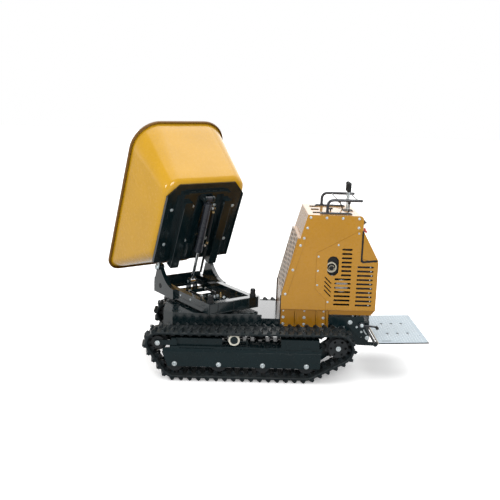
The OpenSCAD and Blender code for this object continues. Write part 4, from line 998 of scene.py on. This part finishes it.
# ---- controls ------------------------------------------------------------------------
# Two bent grab handles on black foot plates guard the levers, with thin cross rods; the
# drive levers stand between them on a common shaft below the hood's top.
red_plastic = finish_of("red_button_plastic", (0.50, 0.018, 0.012), coat=0.4, grain_depth=0.05, roughness=0.3,
                        dust=0.03, edge_wear=0.0)
HANDLE_Y, HANDLE_TOP, TUBE_R = 185, HOOD_TOP + 96, 10
handles = bmesh.new()
for y in (-HANDLE_Y, HANDLE_Y):
    tube(handles, [(570, y, HOOD_TOP + 4), (570, y, HANDLE_TOP), (802, y, HANDLE_TOP)], TUBE_R, bend=48, sides=5)
    bmesh.ops.create_uvsphere(handles, u_segments=20, v_segments=12, radius=TUBE_R,
                              matrix=Matrix.Translation((802, y, HANDLE_TOP)))
    round_bar(handles, (570, y, HOOD_TOP + 10), (570, y, HOOD_TOP + 16), TUBE_R + 5, TUBE_R + 1, sides=28)
for x in (640, 780):
    round_bar(handles, (x, -HANDLE_Y, HANDLE_TOP), (x, HANDLE_Y, HANDLE_TOP), 4, sides=16)
settle("grab_handle_tubes", handles, MACHINE, "chassis", black_paint, replaces=["grab_handles"],
       smooth=50)
feet = bmesh.new()
for y in (-HANDLE_Y, HANDLE_Y):
    block(feet, 520, 742, y - 14, y + 14, HOOD_TOP, HOOD_TOP + 7)
    block(feet, 528, 734, y - 9, y + 9, HOOD_TOP + 6, HOOD_TOP + 11)
settle("handle_feet", feet, MACHINE, "chassis", black_paint, bevel=2)
bolts("handle_bolts", MACHINE, "chassis", [(x, y, HOOD_TOP + 11) for x in (540, 650, 722) for y in (-185, 185)],
      (0, 0, 1), 5, head=button_bolt)
vents = bmesh.new()
for x0, x1, y in ((474, 530, 1), (477, 528, 141), (474, 530, -141)):
    block(vents, x0, x1, y - 12, y + 12, HOOD_TOP - 1, HOOD_TOP + 4)
for y0, y1 in ((-48, -43.5), (-26.5, 26.5), (43.5, 48)):
    block(vents, 700, 770, y0, y1, HOOD_TOP, HOOD_TOP + 1)
for x in (698, 767):
    block(vents, x, x + 5, -48, 48, HOOD_TOP, HOOD_TOP + 1)
settle("top_slots", vents, MACHINE, "chassis", black_rubber, bevel=0.8)

dress(zinc, "drive_lever_left", "drive_lever_right")
for side in (LEFT, RIGHT):
    y, tail = side * 35, NAMES[side]
    grip = bmesh.new()
    low, high = (drawn(p).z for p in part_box(f"grip_{tail}"))
    profile = [(6, 0), (13, 0), (15, 4), (14, 10), (15.5, 18), (14, 26), (15.5, 34), (14, 42), (16, 52), (15, 60),
               (10, 66), (4, high - low), (0, high - low)]
    wire = [grip.verts.new((735 + r, y, low + z)) for r, z in profile]
    edges = [grip.edges.new(pair) for pair in zip(wire, wire[1:])]
    bmesh.ops.spin(grip, geom=wire + edges, cent=(735, y, 0), axis=(0, 0, 1), angle=math.tau, steps=28, use_merge=True)
    settle(f"lever_grip_{tail}", grip, MACHINE, f"{tail}_drive_lever", black_rubber,
           replaces=[f"grip_{tail}"], smooth=40)
    collar = bmesh.new()
    for z0, z1, r in ((1163, 1172, 8), (1225, 1236, 9), (1250, 1262, 8), (1274, 1284, 9)):
        round_bar(collar, (735, y, z0), (735, y, z1), r, sides=6 if r == 9 else 20)
    settle(f"lever_nuts_{tail}", collar, MACHINE, f"{tail}_drive_lever", zinc, bevel=0.6)
dress(red_plastic, "stop_button")

# ---- platform ------------------------------------------------------------------------
# A folded tread plate that hangs on two arms and folds up. Its bars are pressed up in two
# crossing directions, and six drain holes with relief slots are cut through it.
plate_alloy = finish_of("tread_plate_alloy", (0.310, 0.380, 0.430), metallic=0.1, drift=0.04, grain_size=500.0,
                        grain_depth=0.12, roughness=0.34, roughness_spread=0.08, dust=0.03, edge_wear=0.0)
folded_alloy = finish_of("brushed_fold_alloy", (0.52, 0.48, 0.42), metallic=0.3, drift=0.06, grain_size=300.0,
                         grain_depth=0.1, roughness=0.4, roughness_spread=0.06, dust=0.0, edge_wear=0.0)
# A lighter copy of the plate's alloy for the pressed bars: painted highlight on the bars against the plate.
bar_painted_highlight = finish_of("tread_bar_painted_highlight", (0.57, 0.62, 0.65), metallic=0.1, drift=0.03, grain_size=700.0,
                      grain_depth=0.1, roughness=0.3, roughness_spread=0.06, dust=0.02, edge_wear=0.0)
PLATE_X, PLATE_Z, PLATE_LENGTH, PLATE_WIDTH = 965, 272, 352, 645
dress(frame_paint, "platform")
tread_seat = MACHINE @ Matrix.Translation((PLATE_X, 0, PLATE_Z)) @ Matrix.Rotation(math.radians(-2.2), 4, "Y")


def drain(x, y, steps=10):
    """A round hole whose relief slot runs on towards +Y."""
    r, slot = 11, 2
    start = math.asin(slot / r)
    arc = [math.pi / 2 + start + (math.tau - 2 * start) * k / (2 * steps) for k in range(2 * steps + 1)]
    return [(x + r * math.cos(a), y + r * math.sin(a)) for a in arc] + [(x + slot, y + 46), (x - slot, y + 46)]


tread = bmesh.new()
CORNER_R, HALF = 34, PLATE_WIDTH / 2
edge = [(0, -HALF), *[(PLATE_LENGTH - CORNER_R + CORNER_R * math.sin(a), -HALF + CORNER_R - CORNER_R * math.cos(a))
                      for a in (math.pi / 16 * k for k in range(9))],
        *[(PLATE_LENGTH - CORNER_R + CORNER_R * math.cos(a), HALF - CORNER_R + CORNER_R * math.sin(a))
          for a in (math.pi / 16 * k for k in range(9))], (0, HALF)]
drains = [drain(98 + k * 74, y) for k in range(3) for y in (-113, 113)]
drains.append([(28, HALF - 47), (96, HALF - 47), (96, HALF - 38), (28, HALF - 38)])
flat = Matrix.Rotation(math.pi / 2, 4, "X")
plate(tread, edge, -0.6, 3, holes=drains)
settle("tread_plate", tread, tread_seat @ Matrix.Diagonal((1, 1, -1, 1)) @ flat, "standing_platform",
       plate_alloy)
bars = bmesh.new()
BAR_PITCH = 21
for i in range(1, int(PLATE_LENGTH / BAR_PITCH)):
    for j in range(-int(HALF / BAR_PITCH) + 1, int(HALF / BAR_PITCH)):
        x, y = i * BAR_PITCH, j * BAR_PITCH
        near_drain = any(abs(x - 98 - k * 74) < 15 and -18 < y - d < 58 for k in range(3) for d in (-113, 113))
        near_slot = 12 < x < 112 and -HALF + 25 < y < -HALF + 60
        past_corner = x > PLATE_LENGTH - CORNER_R and abs(y) > HALF - CORNER_R
        if near_drain or near_slot or past_corner:
            continue
        turn = Matrix.Rotation(math.radians(45 if (i + j) % 2 else -45), 4, "Z")
        bmesh.ops.create_cone(bars, cap_ends=True, segments=8, radius1=1, radius2=0.6, depth=1.4,
                              matrix=Matrix.Translation((x, y, 1.2)) @ turn @ Matrix.Diagonal((9.5, 2.6, 1, 1)))
settle("tread_bars", bars, tread_seat, "standing_platform", bar_painted_highlight)
lip = bmesh.new()
LIP_STEPS = 14
for k in range(LIP_STEPS):
    y0, y1 = (-HALF + PLATE_WIDTH * t / LIP_STEPS for t in (k, k + 1))
    drop = 3 + 9 * math.cos(math.pi * ((y0 + y1) / 2) / PLATE_WIDTH)
    block(lip, -3 - drop * 0.25, 0.5, y0, y1 + 0.2, -8 - drop, 0.4)
settle("tread_front_fold", lip, tread_seat, "standing_platform", folded_alloy)
# Black discs and strips just under the drain holes, their relief slots and the long slot: painted shade in the holes.
drain_shade = bmesh.new()
for k in range(3):
    for y in (-113, 113):
        round_bar(drain_shade, (98 + k * 74, y, -3), (98 + k * 74, y, -0.8), 12.5, sides=24)
        block(drain_shade, 95.5 + k * 74, 100.5 + k * 74, y - 47, y, -3, -0.8)
block(drain_shade, 27, 97, -HALF + 37, -HALF + 48, -3, -0.8)
settle("drain_shade_discs", drain_shade, tread_seat, "standing_platform", black_rubber)
pedal_low, pedal_high = (drawn(p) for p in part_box("foot_pedal"))
sleeve = bmesh.new()
stub = Vector((pedal_high.x - 7, pedal_low.y + 34, pedal_high.z - 31.2))
for y0, y1, r in ((34.5, 31, 9), (31.5, 4, 11), (4.5, 0, 9)):
    round_bar(sleeve, stub - Vector((0, y0, 0)), stub - Vector((0, y1, 0)), r, sides=28)
settle("pedal_sleeve", sleeve, MACHINE, "pedal", black_rubber, bevel=1)

# The platform's side plates carry the locking quadrant, pivot bolts and the pedal.
BRACKET_FACE = 238
for side in (LEFT, RIGHT):
    y, tail = side * BRACKET_FACE, NAMES[side]
    quadrant = bmesh.new()
    plate(quadrant, [(750, 366), (762, 352), (838, 274), (862, 274), (862, 296), (776, 372)],
          *sorted((y, y + side * 6)))
    plate(quadrant, [(826, 392), (868, 398), (872, 372), (912, 290), (905, 262), (880, 258), (838, 300), (830, 340)],
          *sorted((y, y + side * 3)))
    settle(f"lock_quadrant_{tail}", quadrant, MACHINE, "chassis", side_paint, bevel=1)
    bolts(f"bracket_bolts_{tail}", MACHINE, "chassis", [(767, y, 392), (895, y + side * 3, 281)], (0, side, 0), 11)
    bolts(f"bracket_small_bolts_{tail}", MACHINE, "chassis",
          [(816, y, 358), (851, y + side * 3, 324), (851, y + side * 3, 286)], (0, side, 0), 6, head=button_bolt)
    bolts(f"pivot_washer_{tail}", MACHINE, "chassis", [(848, y + side * (22 if side == LEFT else 3), 377)],
          (0, side, 0), 10, head=button_bolt)
    bright = bmesh.new()
    tube(bright, [(866, y + side * 4, 342), (872, y + side * 4, 324), (887, y + side * 4, 307)], 4.5, bend=14)
    round_bar(bright, (722, y + side * 2, 330), (722, y + side * 2, 362), 7, sides=20)
    for x in (664, 692):
        round_bar(bright, (x, y, 352), (x, y + side * 14, 352), 8, sides=6)
    settle(f"lock_pins_{tail}", bright, MACHINE, "chassis", zinc, smooth=40)
dress(black_paint, "foot_pedal")
